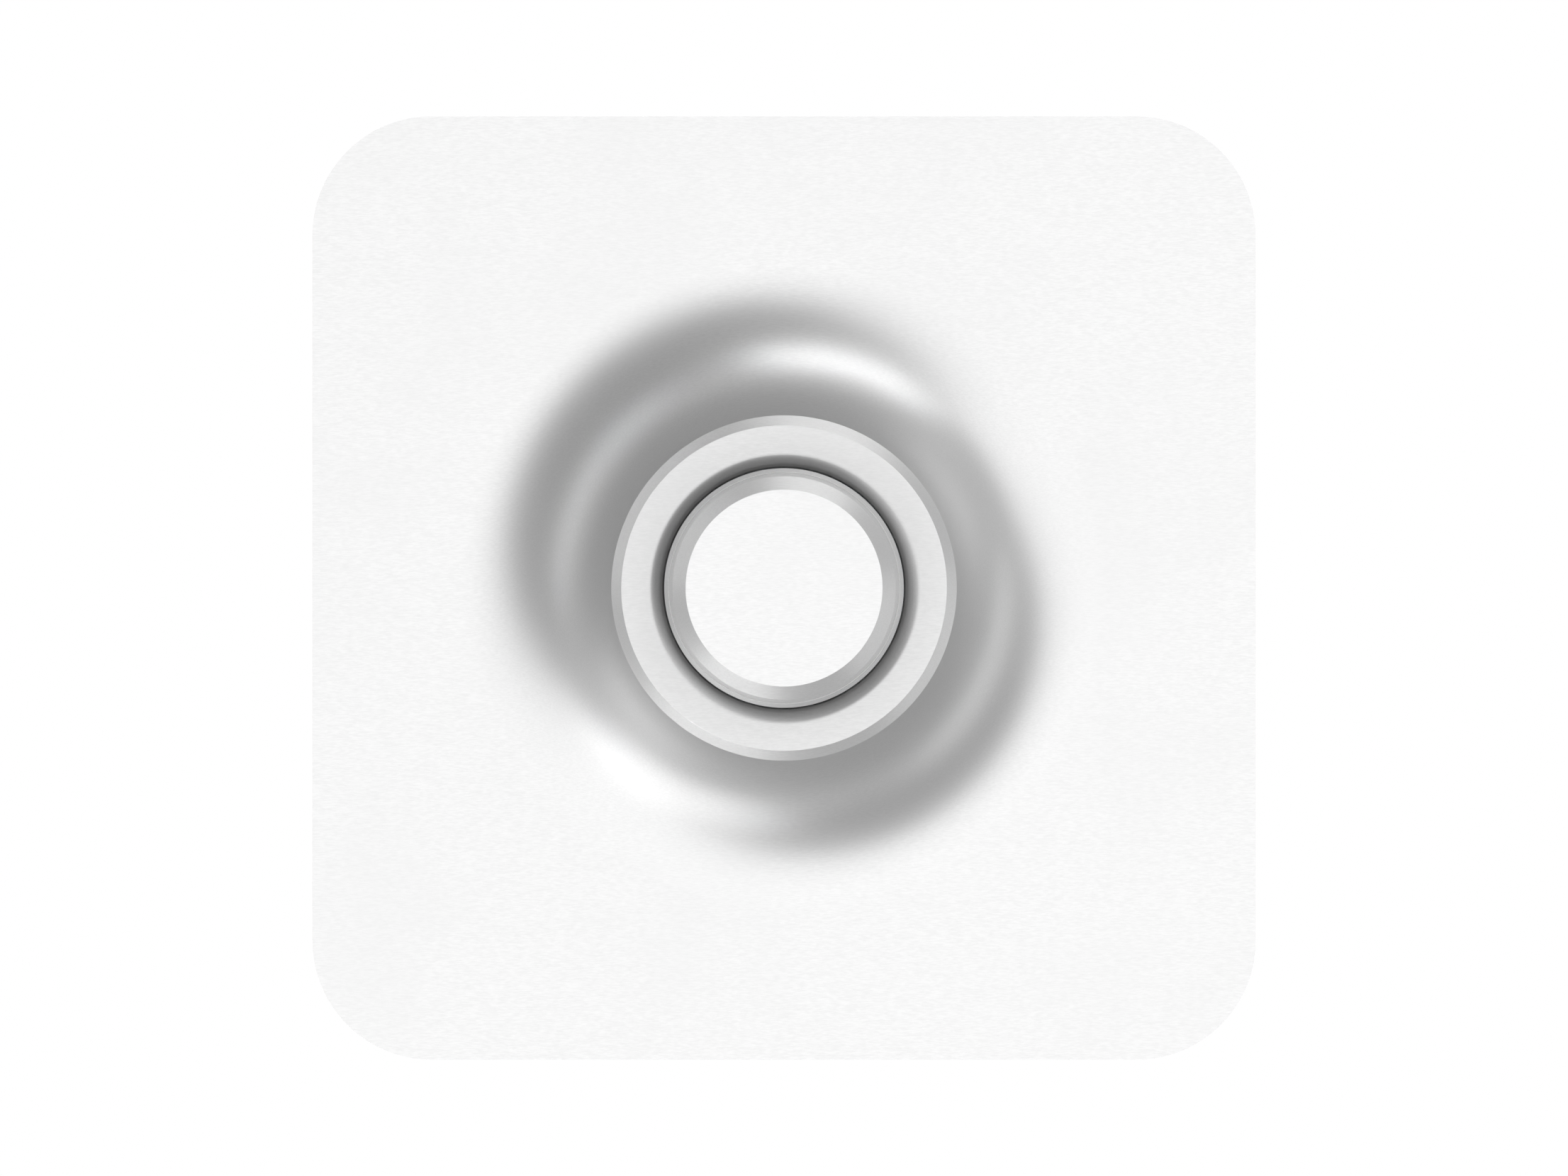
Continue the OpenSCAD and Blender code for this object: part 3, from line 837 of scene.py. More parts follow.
@dataclass(frozen=True)
class MetalFinish(Finish):
    """A bare or plated metal with tool marks, soft patches, rubbed edges and painted shade in its hollows.

    Attributes:
        colour: Colour of the clean metal.
        shade: Colour in the depth of the tool marks.
        stain: Colour of the soft patches.
        stain_share: How far the patches reach that colour.
        stain_size: Size of the patches.
        roughness: Roughness of the clean metal.
        spread: How far the tool marks change the roughness.
        marks: Which way the tool marks run.
        mark_width: Width of a mark.
        mark_depth: Depth of a mark in the surface.
        mark_length: Length of a straight mark.
        rubbed: How bright the edges are rubbed.
        stain_cut: Noise between which a patch sets in.
        mark_cut: Grain between which the marks go from their depth to their crest.
        relief: Strength of the marks' relief.
        rub_break: Size of the breaks in the rubbed edges.
        rub_gain: How many times brighter rubbed metal is than clean metal.
        rub_polish: Share of the roughness that rubbing takes away.
    """

    colour: Triple
    shade: Triple
    stain: Triple
    stain_share: float
    stain_size: float
    roughness: float
    spread: float
    marks: Marks
    mark_width: float
    mark_depth: float
    mark_length: float = MM
    rubbed: float = 0.4
    stain_cut: Pair = (0.42, 0.72)
    mark_cut: Pair = (0.25, 0.75)
    relief: float = 0.6
    rub_break: float = 2.5 * MM
    rub_gain: float = 1.06
    rub_polish: float = 0.4

    def grain(self, graph: Graph) -> Socket:
        """The tool marks' value, about one half on average.

        Args:
            graph: The material's graph.

        Returns:
            The value's socket.
        """
        wide, long = self.mark_width, self.mark_length
        match self.marks:
            case Marks.TURNED:
                return RING_GRAIN.put(graph, Ring_Width=wide)
            case Marks.SIDEWAYS:
                return LINE_GRAIN.put(graph, Cell_X=long, Cell_Y=wide, Cell_Z=wide)
            case Marks.LENGTHWAYS:
                return LINE_GRAIN.put(graph, Cell_X=wide, Cell_Y=long, Cell_Z=wide)
            case Marks.CAST:
                return LINE_GRAIN.put(graph, Cell_X=wide, Cell_Y=wide, Cell_Z=wide)

    def draw(self, graph: Graph, shader: bpy.types.Node) -> None:
        """Lays marks, patches and rubbed edges into colour, roughness and height, and darkens the colour with
        painted shade.

        Args:
            graph: The material's graph.
            shader: Its Principled shader.
        """
        grain = self.grain(graph)
        patch = BLOTCHES.put(graph, Size=self.stain_size, Low=self.stain_cut[0], High=self.stain_cut[1])
        edge = WORN_EDGE.put(graph, Break=self.rub_break, Amount=self.rubbed)
        bright = tuple(min(1.0, self.rub_gain * c) for c in self.colour)
        colour = graph.blend(graph.ramp(grain, *self.mark_cut), (*self.shade, 1), (*self.colour, 1))
        colour = graph.blend(graph.math("MULTIPLY", patch, self.stain_share), colour, (*self.stain, 1))
        colour = graph.blend(edge, colour, (*bright, 1))
        # Painted shade: the colour darkens towards black in hollows and gaps.
        colour = graph.blend(PAINTED_HOLLOW_SHADE.put(graph), colour, BLACK)
        most, least = self.roughness + self.spread, self.roughness - self.spread
        rough = graph.ramp(grain, *self.mark_cut, most, least)
        rough = graph.math("ADD", rough, graph.math("MULTIPLY", patch, self.spread))
        polish = graph.math("MULTIPLY", edge, self.rub_polish * self.roughness)
        graph.feed(shader, {
            "Base Color": colour,
            "Roughness": graph.math("SUBTRACT", rough, polish),
            "Normal": graph.relief(grain, self.mark_depth, self.relief),
            "Metallic": 1.0,
        })


@dataclass(frozen=True)
class ClearFinish(Finish):
    """Glass or a clear fluid.

    Attributes:
        colour: Colour that it lets through.
        streak: Colour of its faint streaks.
        index: Index of refraction.
        roughness: Roughness of its surface.
        streak_width: Width of a streak.
        streak_length: Length of a streak.
        tint_cut: Grain between which a streak takes its colour.
        dull_cut: Grain between which a streak grows dull.
        dulling: How many times rougher a streak is.
    """

    colour: Triple
    streak: Triple
    index: float
    roughness: float = 0.01
    streak_width: float = 0.6 * MM
    streak_length: float = 9 * MM
    tint_cut: Pair = (0.4, 0.8)
    dull_cut: Pair = (0.3, 0.8)
    dulling: float = 3.0

    def draw(self, graph: Graph, shader: bpy.types.Node) -> None:
        """Draws faint lengthways streaks in the colour and the roughness.

        Args:
            graph: The material's graph.
            shader: Its Principled shader.
        """
        wide, long = self.streak_width, self.streak_length
        streak = LINE_GRAIN.put(graph, Cell_X=wide, Cell_Y=long, Cell_Z=wide)
        share = graph.ramp(streak, *self.tint_cut)
        graph.feed(shader, {
            "Base Color": graph.blend(share, (*self.colour, 1), (*self.streak, 1)),
            "Roughness": graph.ramp(streak, *self.dull_cut, self.roughness, self.dulling * self.roughness),
            "Metallic": 0.0,
            "Transmission Weight": 1.0,
            "IOR": self.index,
        })


@dataclass(frozen=True)
class CoatFinish(Finish):
    """A slick dull coating.

    Attributes:
        colour: Colour of the coating.
        rubbed: Colour where it is rubbed thin.
        patch_size: Size of the rubbed patches.
        grain_size: Size of the coating's grain.
        grain_depth: Depth of the grain in the surface.
        grain_cut: Grain between which the roughness changes.
        roughness: Roughness in the depth and on the crest of the grain.
    """

    colour: Triple
    rubbed: Triple
    patch_size: float = 3 * MM
    grain_size: float = 0.2 * MM
    grain_depth: float = 0.01 * MM
    grain_cut: Pair = (0.3, 0.7)
    roughness: Pair = (0.5, 0.38)

    def draw(self, graph: Graph, shader: bpy.types.Node) -> None:
        """Draws rubbed patches and a fine even grain.

        Args:
            graph: The material's graph.
            shader: Its Principled shader.
        """
        cell = self.grain_size
        grain = LINE_GRAIN.put(graph, Cell_X=cell, Cell_Y=cell, Cell_Z=cell)
        patch = BLOTCHES.put(graph, Size=self.patch_size, Low=0.4, High=0.7)
        graph.feed(shader, {
            "Base Color": graph.blend(patch, (*self.colour, 1), (*self.rubbed, 1)),
            "Roughness": graph.ramp(grain, *self.grain_cut, *self.roughness),
            "Normal": graph.relief(grain, self.grain_depth, strength=0.4),
            "Metallic": 0.2,
        })


TRIM_STEEL = MetalFinish(
    "brushed_trim_steel", Slot.TRIM_STEEL, colour=(0.885, 0.885, 0.885), shade=(0.82, 0.82, 0.82),
    stain=(0.85, 0.85, 0.85), stain_share=0.5, stain_size=22 * MM, roughness=0.38, spread=0.02,
    marks=Marks.SIDEWAYS, mark_width=0.11 * MM, mark_length=0.75 * MM, mark_depth=0.0006 * MM, rubbed=0.2,
)
SPRING_STEEL = MetalFinish(
    "rolled_spring_steel", Slot.SPRING_STEEL, colour=(0.58, 0.59, 0.61), shade=(0.45, 0.46, 0.48),
    stain=(0.50, 0.47, 0.44), stain_share=0.5, stain_size=4 * MM, roughness=0.3, spread=0.06,
    marks=Marks.LENGTHWAYS, mark_width=0.08 * MM, mark_length=3 * MM, mark_depth=0.004 * MM,
)
HOUSING_STEEL = MetalFinish(
    "plated_housing_steel", Slot.HOUSING_STEEL, colour=(0.66, 0.68, 0.71), shade=(0.56, 0.58, 0.60),
    stain=(0.66, 0.65, 0.58), stain_share=0.55, stain_size=7 * MM, roughness=0.33, spread=0.07,
    marks=Marks.TURNED, mark_width=0.16 * MM, mark_depth=0.006 * MM,
)
SCREW_STEEL = MetalFinish(
    "machined_screw_steel", Slot.SCREW_STEEL, colour=(0.47, 0.48, 0.50), shade=(0.34, 0.35, 0.37),
    stain=(0.30, 0.29, 0.29), stain_share=0.5, stain_size=1.5 * MM, roughness=0.32, spread=0.06,
    marks=Marks.LENGTHWAYS, mark_width=0.07 * MM, mark_length=0.6 * MM, mark_depth=0.004 * MM,
)
FUSIBLE_ALLOY = MetalFinish(
    "dull_fusible_alloy", Slot.FUSIBLE_ALLOY, colour=(0.60, 0.61, 0.62), shade=(0.44, 0.45, 0.46),
    stain=(0.50, 0.50, 0.48), stain_share=0.6, stain_size=1.2 * MM, roughness=0.5, spread=0.1,
    marks=Marks.CAST, mark_width=0.18 * MM, mark_depth=0.03 * MM,
)
BODY_BRASS = MetalFinish(
    "turned_body_brass", Slot.BODY_BRASS, colour=(0.78, 0.57, 0.27), shade=(0.66, 0.46, 0.19),
    stain=(0.62, 0.41, 0.17), stain_share=0.5, stain_size=8 * MM, roughness=0.28, spread=0.07,
    marks=Marks.TURNED, mark_width=0.13 * MM, mark_depth=0.005 * MM, rubbed=0.5,
)
NUT_BRASS = MetalFinish(
    "bright_nut_brass", Slot.NUT_BRASS, colour=(0.83, 0.65, 0.34), shade=(0.72, 0.53, 0.25),
    stain=(0.69, 0.49, 0.22), stain_share=0.4, stain_size=6 * MM, roughness=0.24, spread=0.06,
    marks=Marks.TURNED, mark_width=0.1 * MM, mark_depth=0.004 * MM, rubbed=0.5,
)
DEFLECTOR_BRONZE = MetalFinish(
    "stamped_deflector_bronze", Slot.DEFLECTOR_BRONZE, colour=(0.71, 0.50, 0.28), shade=(0.60, 0.40, 0.20),
    stain=(0.52, 0.33, 0.17), stain_share=0.5, stain_size=4 * MM, roughness=0.34, spread=0.06,
    marks=Marks.SIDEWAYS, mark_width=0.1 * MM, mark_length=2 * MM, mark_depth=0.004 * MM, rubbed=0.6,
)
SEAL_COAT = CoatFinish("slick_seal_coat", Slot.SEAL_COAT, (0.16, 0.28, 0.40), (0.24, 0.36, 0.47))
BULB_GLASS = ClearFinish(
    "blown_bulb_glass", Slot.BULB_GLASS, colour=(0.98, 0.98, 0.97), streak=(0.95, 0.96, 0.95), index=1.5,
)
BULB_FLUID = ClearFinish(
    "red_bulb_fluid", Slot.BULB_FLUID, colour=(0.85, 0.03, 0.02), streak=(0.72, 0.02, 0.02), index=1.36,
)


def dressed(node: str, finish: Finish) -> str:
    """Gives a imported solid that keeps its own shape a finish.

    Args:
        node: Name of the solid's node.
        finish: The finish.

    Returns:
        The node's name.
    """
    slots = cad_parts[node].data.materials
    slots.clear()
    slots.append(finish.material())
    return node


class SubAssembly(ABC):
    """A group of pieces that ride on one body."""

    body: Body

    @abstractmethod
    def build(self) -> Iterator[str]:
        """Makes and dresses the pieces.

        Yields:
            Each piece's name, as it is done.
        """

    def piece(self, name: str, surface: Surface, finish: Finish, *nodes: str) -> str:
        """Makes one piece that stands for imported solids.

        Args:
            name: Name of the piece.
            surface: Its mesh.
            finish: Its finish.
            nodes: The solids that it stands for.

        Returns:
            The piece's name.
        """
        made = bpy.data.objects.new(name, surface.mesh(name))
        made.data.materials.append(finish.material())
        bpy.context.scene.collection.objects.link(made)
        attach(made, self.body.value)
        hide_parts(*nodes)
        return name


@dataclass
class FaceTrim(SubAssembly):
    """The drawn square face plate with its trumpet flare, and the spring collar in its neck.

    Attributes:
        sheet: Thickness of the plate's sheet.
        corner_r: Radius of the square's corners.
        flare_r: Radius of the flare, on its front.
        flare_steps: Steps of the flare.
        flare_painted_shade: Painted shade at the flare's inner end, darkening its colour towards the neck.
        back_steps: Steps of the flare's back.
        neck_r: Outer radius of the neck.
        crisp: Rounding of the sheet's other edges.
        cut: Rounding of the outline's front edge.
        around: Steps round the plate.
    """

    sheet: float = 1.5 * MM
    corner_r: float = 12.6 * MM
    flare_r: float = 15.95 * MM
    flare_steps: int = 48
    flare_painted_shade: float = 0.14
    back_steps: int = 36
    neck_r: float = 18.25 * MM
    crisp: float = 0.1 * MM
    cut: float = 0.002 * MM
    around: int = 480
    body: Body = Body.PLATE

    def outline(self, half: float) -> Outline:
        """Square with round corners, read along rays from its centre.

        A ray meets a straight side at half over its larger cosine, or else the corner's circle, where its
        distance solves the circle's quadratic.

        Args:
            half: Half the square's side.

        Returns:
            The outline.
        """
        angle = round_steps(self.around)
        ray = rays(angle)
        folded = np.abs(ray)
        inner = half - self.corner_r
        straight = half / folded.max(axis=-1)
        near = folded.sum(axis=-1) * inner
        bent = near + np.sqrt(np.maximum(near**2 - 2 * inner**2 + self.corner_r**2, 0))
        at_corner = straight * folded.min(axis=-1) > inner
        points = ray * np.where(at_corner, bent, straight)[:, None]
        from_corner = np.abs(points) - inner
        square_on = (folded == folded.max(axis=-1, keepdims=True)).astype(float)
        outward = np.sign(ray) * np.where(at_corner[:, None], from_corner, square_on)
        return Outline(points, unit(outward), angle)

    def plate(self) -> Surface:
        """Section of the bent sheet, carried from the round neck out to the square outline.

        Returns:
            The plate.
        """
        half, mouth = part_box("face_plate")[1].x, front_of("face_plate")
        neck_in = self.neck_r - self.sheet
        section = rounded_section((
            Corner(self.neck_r, mouth, self.crisp),
            Corner(neck_in, mouth, self.crisp),
            Corner(neck_in, 0, self.flare_r + self.sheet, self.back_steps),
            Corner(half, 0, self.crisp),
            Corner(half, self.sheet, self.cut),
            # The flare's arc fades into painted shade towards the neck.
            Corner(self.neck_r, self.sheet, self.flare_r, self.flare_steps, (0.0, self.flare_painted_shade)),
        ))
        return rimmed(section, half, self.outline(half))

    def build(self) -> Iterator[str]:
        """Makes the plate and dresses the collar."""
        yield self.piece("brushed_face_plate", self.plate(), TRIM_STEEL, "face_plate")
        yield dressed("grip_collar", SPRING_STEEL)


class LipBend(NamedTuple):
    """A bend of the ring's lip.

    Attributes:
        degrees: Angle of the bend.
        rounding: Its radius.
        painted_shade: Painted shade before and after it.
    """

    degrees: float
    rounding: float
    painted_shade: Pair


@dataclass
class BezelTrim(SubAssembly):
    """The stepped ring in front of the plate.

    Attributes:
        bore_r: Radius of the bore.
        outer_r: Radius of the flange.
        flange: Thickness of the flange.
        chamfer: Chamfer round the flange.
        face_painted_shade: Painted shade at the inner edge of the flange's face, next to the cap.
        lip: Width and depth of the bore's rounded lip.
        bends: The lip's bends from the face inwards.
        bend_steps: Steps of each bend.
        straight: Straight stretch after each bend.
        nose: How far the lip's nose stands into the bore.
        nose_rounding: Rounding of the nose.
        nose_painted_shade: Painted shade before and after the nose.
        spigot_wall: Wall of the spigot behind the flange.
        crisp: Rounding of the edges.
    """

    bore_r: float = 12.95 * MM
    outer_r: float = 18.25 * MM
    flange: float = 3 * MM
    chamfer: float = 1.05 * MM
    face_painted_shade: float = 0.14
    lip: float = 1.55 * MM
    bends: tuple[LipBend, ...] = (LipBend(24, 1.25 * MM, (0.19, 0.24)), LipBend(26, 2.5 * MM, (0.24, 0.45)))
    bend_steps: int = 12
    straight: float = 0.03 * MM
    nose: float = 0.15 * MM
    nose_rounding: float = 0.01 * MM
    nose_painted_shade: Pair = (0.42, 0.62)
    spigot_wall: float = 1.2 * MM
    crisp: float = 0.07 * MM
    body: Body = Body.HEAD

    def lip_corners(self, face: float) -> Iterator[Corner]:
        """Corners of the lip: each bend takes the slope on, and a straight end runs to the nose.

        Args:
            face: Height of the ring's face.

        Yields:
            The corners, from the face inwards.
        """
        r, z, slope, nose_r = self.bore_r + self.lip, face, 0.0, self.bore_r - self.nose
        # Each bend carries painted shade, darkening the lip's colour towards the bore.
        for degrees, rounding, painted_shade in self.bends:
            bend = math.radians(degrees)
            reach = rounding * math.tan(bend / 2)
            corner_r, corner_z = r - reach * math.cos(slope), z - reach * math.sin(slope)
            yield Corner(corner_r, corner_z, rounding, self.bend_steps, painted_shade)
            slope += bend
            reach += self.straight
            r, z = corner_r - reach * math.cos(slope), corner_z - reach * math.sin(slope)
        nose_z = z - (r - nose_r) * math.tan(slope)
        yield Corner(nose_r, nose_z, self.nose_rounding, painted_shade=self.nose_painted_shade)

    def ring(self) -> Surface:
        """Half section of flange and spigot, turned about the head's axis.

        Returns:
            The ring.
        """
        face, end = front_of("bezel_ring"), back_of("bezel_ring")
        spigot_r = self.bore_r + self.spigot_wall
        return turned(rounded_section((
            Corner(self.bore_r, end, self.crisp),
            Corner(spigot_r, end, 3 * self.crisp),
            Corner(spigot_r, face - self.flange, 2 * self.crisp),
            Corner(self.outer_r, face - self.flange, self.crisp),
            Corner(self.outer_r, face - self.chamfer, self.crisp),
            # The flange's face darkens with painted shade towards the cap.
            Corner(self.outer_r - self.chamfer, face, self.crisp, painted_shade=(0.0, self.face_painted_shade)),
            *self.lip_corners(face),
            Corner(self.bore_r, face - self.lip, self.crisp),
        )), around=320)

    def build(self) -> Iterator[str]:
        """Makes the ring."""
        yield self.piece("stepped_bezel_ring", self.ring(), TRIM_STEEL, "bezel_ring")


@dataclass
class DropCap(SubAssembly):
    """The cap that falls away in a fire, with its collar, bow spring and rivet.

    Attributes:
        face_r: Radius of the flat face.
        cone: Width and height of the 45 degree edge.
        band: Height of the tapered band, and of the collar's taper.
        taper: How much the band and the collar each widen.
        seam: Gap between the band and the collar.
        seam_painted_shade: Painted shade in that gap.
        skin: Thickness of the face.
        wall: Wall of the skirt.
        boss_r: Radius of the boss behind the face.
        boss: Height of that boss.
        strip: Thickness of the spring's strip.
        strip_edge: Rounding of the strip's edges.
        strip_steps: Steps along the strip.
        rivet_r: Radius of the rivet's shank.
        rivet_room: Room round the shank in its hole.
        rivet_head_r: Radius of the rivet's head.
        rivet_head: Height of the rivet's head.
        rivet_dome: Rounding of the rivet's head.
        crisp: Rounding of the edges.
        around: Steps round the cap and its collar.
    """

    face_r: float = 10.4 * MM
    cone: float = 1.4 * MM
    band: float = 0.5 * MM
    taper: float = 0.4 * MM
    seam: float = 0.05 * MM
    seam_painted_shade: float = 0.45
    skin: float = 1.0 * MM
    wall: float = 0.45 * MM
    boss_r: float = 2.6 * MM
    boss: float = 2.0 * MM
    strip: float = 0.4 * MM
    strip_edge: float = 0.12 * MM
    strip_steps: int = 96
    rivet_r: float = 0.8 * MM
    rivet_room: float = 0.05 * MM
    rivet_head_r: float = 1.6 * MM
    rivet_head: float = 0.5 * MM
    rivet_dome: float = 0.4 * MM
    crisp: float = 0.06 * MM
    around: int = 288
    body: Body = Body.CAP

    def __post_init__(self) -> None:
        """Takes the cap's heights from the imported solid."""
        self.face, self.end = front_of("cover_cap"), back_of("cover_cap")
        self.edge_r = self.face_r + self.cone
        self.band_end = self.face - self.cone - self.band

    def cap(self) -> Surface:
        """Section from the rivet hole's end round boss and skirt to the face's middle, turned about the axis.

        Returns:
            The cap.
        """
        inner_r, hole_r = self.edge_r - self.wall, self.rivet_r + self.rivet_room
        back = self.face - self.skin
        boss_face = back - self.boss
        bevel = self.cone / 2
        return turned(rounded_section((
            Corner(0, back),
            Corner(hole_r, back, self.crisp),
            Corner(hole_r, boss_face, self.crisp),
            Corner(self.boss_r, boss_face, 3 * self.crisp),
            Corner(self.boss_r, back, 3 * self.crisp),
            Corner(inner_r - bevel, back, 3 * self.crisp),
            Corner(inner_r, back - bevel, 3 * self.crisp),
            Corner(inner_r, self.end, self.crisp),
            Corner(self.edge_r, self.end, self.crisp),
            Corner(self.edge_r, self.band_end, self.crisp / 2),
            Corner(self.edge_r + self.taper, self.band_end, self.crisp),
            Corner(self.edge_r, self.face - self.cone, self.crisp),
            Corner(self.face_r, self.face, self.crisp),
            Corner(0, self.face),
        ), closed=False), around=self.around)

    def collar(self) -> Surface:
        """Half section of the collar round the skirt, turned about the head's axis.

        Returns:
            The collar.
        """
        top = self.band_end - self.seam
        inner_r = self.edge_r + self.seam
        top_r = inner_r + self.taper
        # Painted shade darkens the collar's top in the seam next to the cap.
        dark = self.seam_painted_shade
        return turned(rounded_section((
            Corner(inner_r, self.end, self.crisp),
            Corner(top_r + self.taper, self.end, 2 * self.crisp),
            Corner(top_r + self.taper, top - self.band, self.crisp),
            Corner(top_r, top, self.crisp / 2, painted_shade=(0.0, dark)),
            Corner(inner_r, top, self.crisp, painted_shade=(dark, dark)),
        )), around=self.around)

    def spring(self) -> Surface:
        """Bow strip: a rounded rectangle carried along an arc from one foot over the crown to the other.

        At the arc's angle a from the crown, a point at depth h in the strip lies at the arc's radius plus h
        times (sin a, cos a) from the arc's centre.

        Returns:
            The strip.
        """
        low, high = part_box("ejector_spring")
        reach, half_width = high.x, high.z
        foot, crown = -high.y, -low.y
        rise = crown - foot
        radius = (reach**2 + rise**2) / (2 * rise)
        sweep = math.atan2(reach, radius - rise)
        cross = rounded_section([
            Corner(depth, width, self.strip_edge)
            for depth, width in (
                (-self.strip, -half_width), (0, -half_width), (0, half_width), (-self.strip, half_width),
            )
        ])
        angle = np.linspace(-sweep, sweep, self.strip_steps + 1)[:, None]
        depth, width = cross.points.T
        lean, wide = cross.normals.T
        spread = np.zeros_like(angle)
        along, out = (radius + depth) * np.sin(angle), (radius + depth) * np.cos(angle)
        local = np.stack((along, width + spread, crown - radius + out), axis=-1)
        normal = np.stack((lean * np.sin(angle), wide + spread, lean * np.cos(angle)), axis=-1)
        return strip_surface(HEAD_AXIS.points(local), HEAD_AXIS.directions(normal), cross.masks)

    def rivet(self) -> Surface:
        """Section of the domed head and the shank, turned about the head's axis.

        Returns:
            The rivet.
        """
        low, top = back_of("spring_rivet"), front_of("spring_rivet")
        return turned(rounded_section((
            Corner(0, low),
            Corner(self.rivet_head_r, low, self.rivet_dome, steps=8),
            Corner(self.rivet_head_r, low + self.rivet_head, self.crisp),
            Corner(self.rivet_r, low + self.rivet_head, self.crisp),
            Corner(self.rivet_r, top, self.crisp),
            Corner(0, top),
        ), closed=False), around=64)

    def build(self) -> Iterator[str]:
        """Makes the four pieces that leave together."""
        yield self.piece("drum_cover_cap", self.cap(), TRIM_STEEL, "cover_cap")
        yield self.piece("skirt_collar", self.collar(), TRIM_STEEL, "cap_collar")
        yield self.piece("bow_ejector_spring", self.spring(), SPRING_STEEL, "ejector_spring")
        yield self.piece("domed_spring_rivet", self.rivet(), SCREW_STEEL, "spring_rivet")


class CapRelease(SubAssembly):
    """The ring with three posts behind the cap, and the fusible pads on them."""

    body = Body.HEAD

    def build(self) -> Iterator[str]:
        """Dresses the retainer and its pads."""
        yield dressed("cap_retainer", SPRING_STEEL)
        for i in range(1, 4):
            yield dressed(f"solder_pad_{i}", FUSIBLE_ALLOY)


@dataclass
class HousingGroup(SubAssembly):
    """The housing tube with its set screws, and the ring nut that locks it.

    Attributes:
        thread_r: Radius of the thread in the nut.
        slots: Number of spanner slots.
        slot_half: Half the width of a slot.
        slot_steps: Steps over half a slot's floor, and up its wall.
        arc_steps: Steps round the rim from slot to slot.
        lead: How far past a slot's wall, in bevels, the inner circles meet the wall's foot and its top.
        crisp: Rounding of the nut's inner edges.
        bevel: Bevel round the nut's rim.
    """

    thread_r: float = 14.2 * MM
    slots: int = 6
    slot_half: float = 1.5 * MM
    slot_steps: int = 3
    arc_steps: int = 30
    lead: Pair = (1.2, 2.0)
    crisp: float = 0.15 * MM
    bevel: float = 0.4 * MM
    body: Body = Body.HEAD

    def outline(self, rim_r: float) -> Outline:
        """Circle with square slots: half a floor, a wall, an arc, the next wall and half the next floor.

        One such stretch is drawn and then turned from slot to slot. The circles inside run ahead of the
        outline at the walls, so that the flat faces don't fold over there.

        Args:
            rim_r: Radius of the rim.

        Returns:
            The outline.
        """
        floor_r = (rim_r + self.thread_r) / 2
        pitch = TURN / self.slots
        mouth = math.asin(self.slot_half / rim_r)
        foot, clear = (math.asin((self.slot_half + k * self.bevel) / self.thread_r) for k in self.lead)
        wall = np.linspace(0, 1, self.slot_steps + 1)
        floor = wall[:-1]
        arc = np.linspace(0, 1, self.arc_steps + 1)[1:-1]
        rise = rim_r * math.cos(mouth) - floor_r
        out = floor_r + rise * np.concatenate((np.zeros_like(floor), wall))
        across = self.slot_half * np.concatenate((floor, np.ones_like(wall)))
        near = np.stack((out, across), axis=-1)
        far = swung(near[:0:-1] * (1, -1), pitch)
        one = np.concatenate((near, rim_r * rays(mouth + (pitch - 2 * mouth) * arc), far))
        inner = np.concatenate((foot * floor, foot + (clear - foot) * wall))
        angle = np.concatenate((inner, clear + (pitch - 2 * clear) * arc, pitch - inner[:0:-1]))
        turns = np.arange(self.slots)[:, None] * pitch
        points = swung(one, turns).reshape(-1, 2)
        return Outline(points, mitred(points), (turns + angle).ravel())

    def nut(self) -> Surface:
        """Section of the nut, carried round its slotted outline.

        Returns:
            The nut.
        """
        high, low = front_of("lock_nut"), back_of("lock_nut")
        rim_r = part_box("lock_nut")[1].z
        section = rounded_section((
            Corner(self.thread_r, low, self.crisp),
            Corner(rim_r, low, self.bevel),
            Corner(rim_r, high, self.bevel),
            Corner(self.thread_r, high, self.crisp),
        ))
        return rimmed(section, rim_r, self.outline(rim_r))

    def build(self) -> Iterator[str]:
        """Dresses the housing and its screws, and makes the nut."""
        yield dressed("housing_tube", HOUSING_STEEL)
        for i in range(1, 4):
            yield dressed(f"set_screw_{i}", SCREW_STEEL)
        yield self.piece("slotted_lock_nut", self.nut(), NUT_BRASS, "lock_nut")


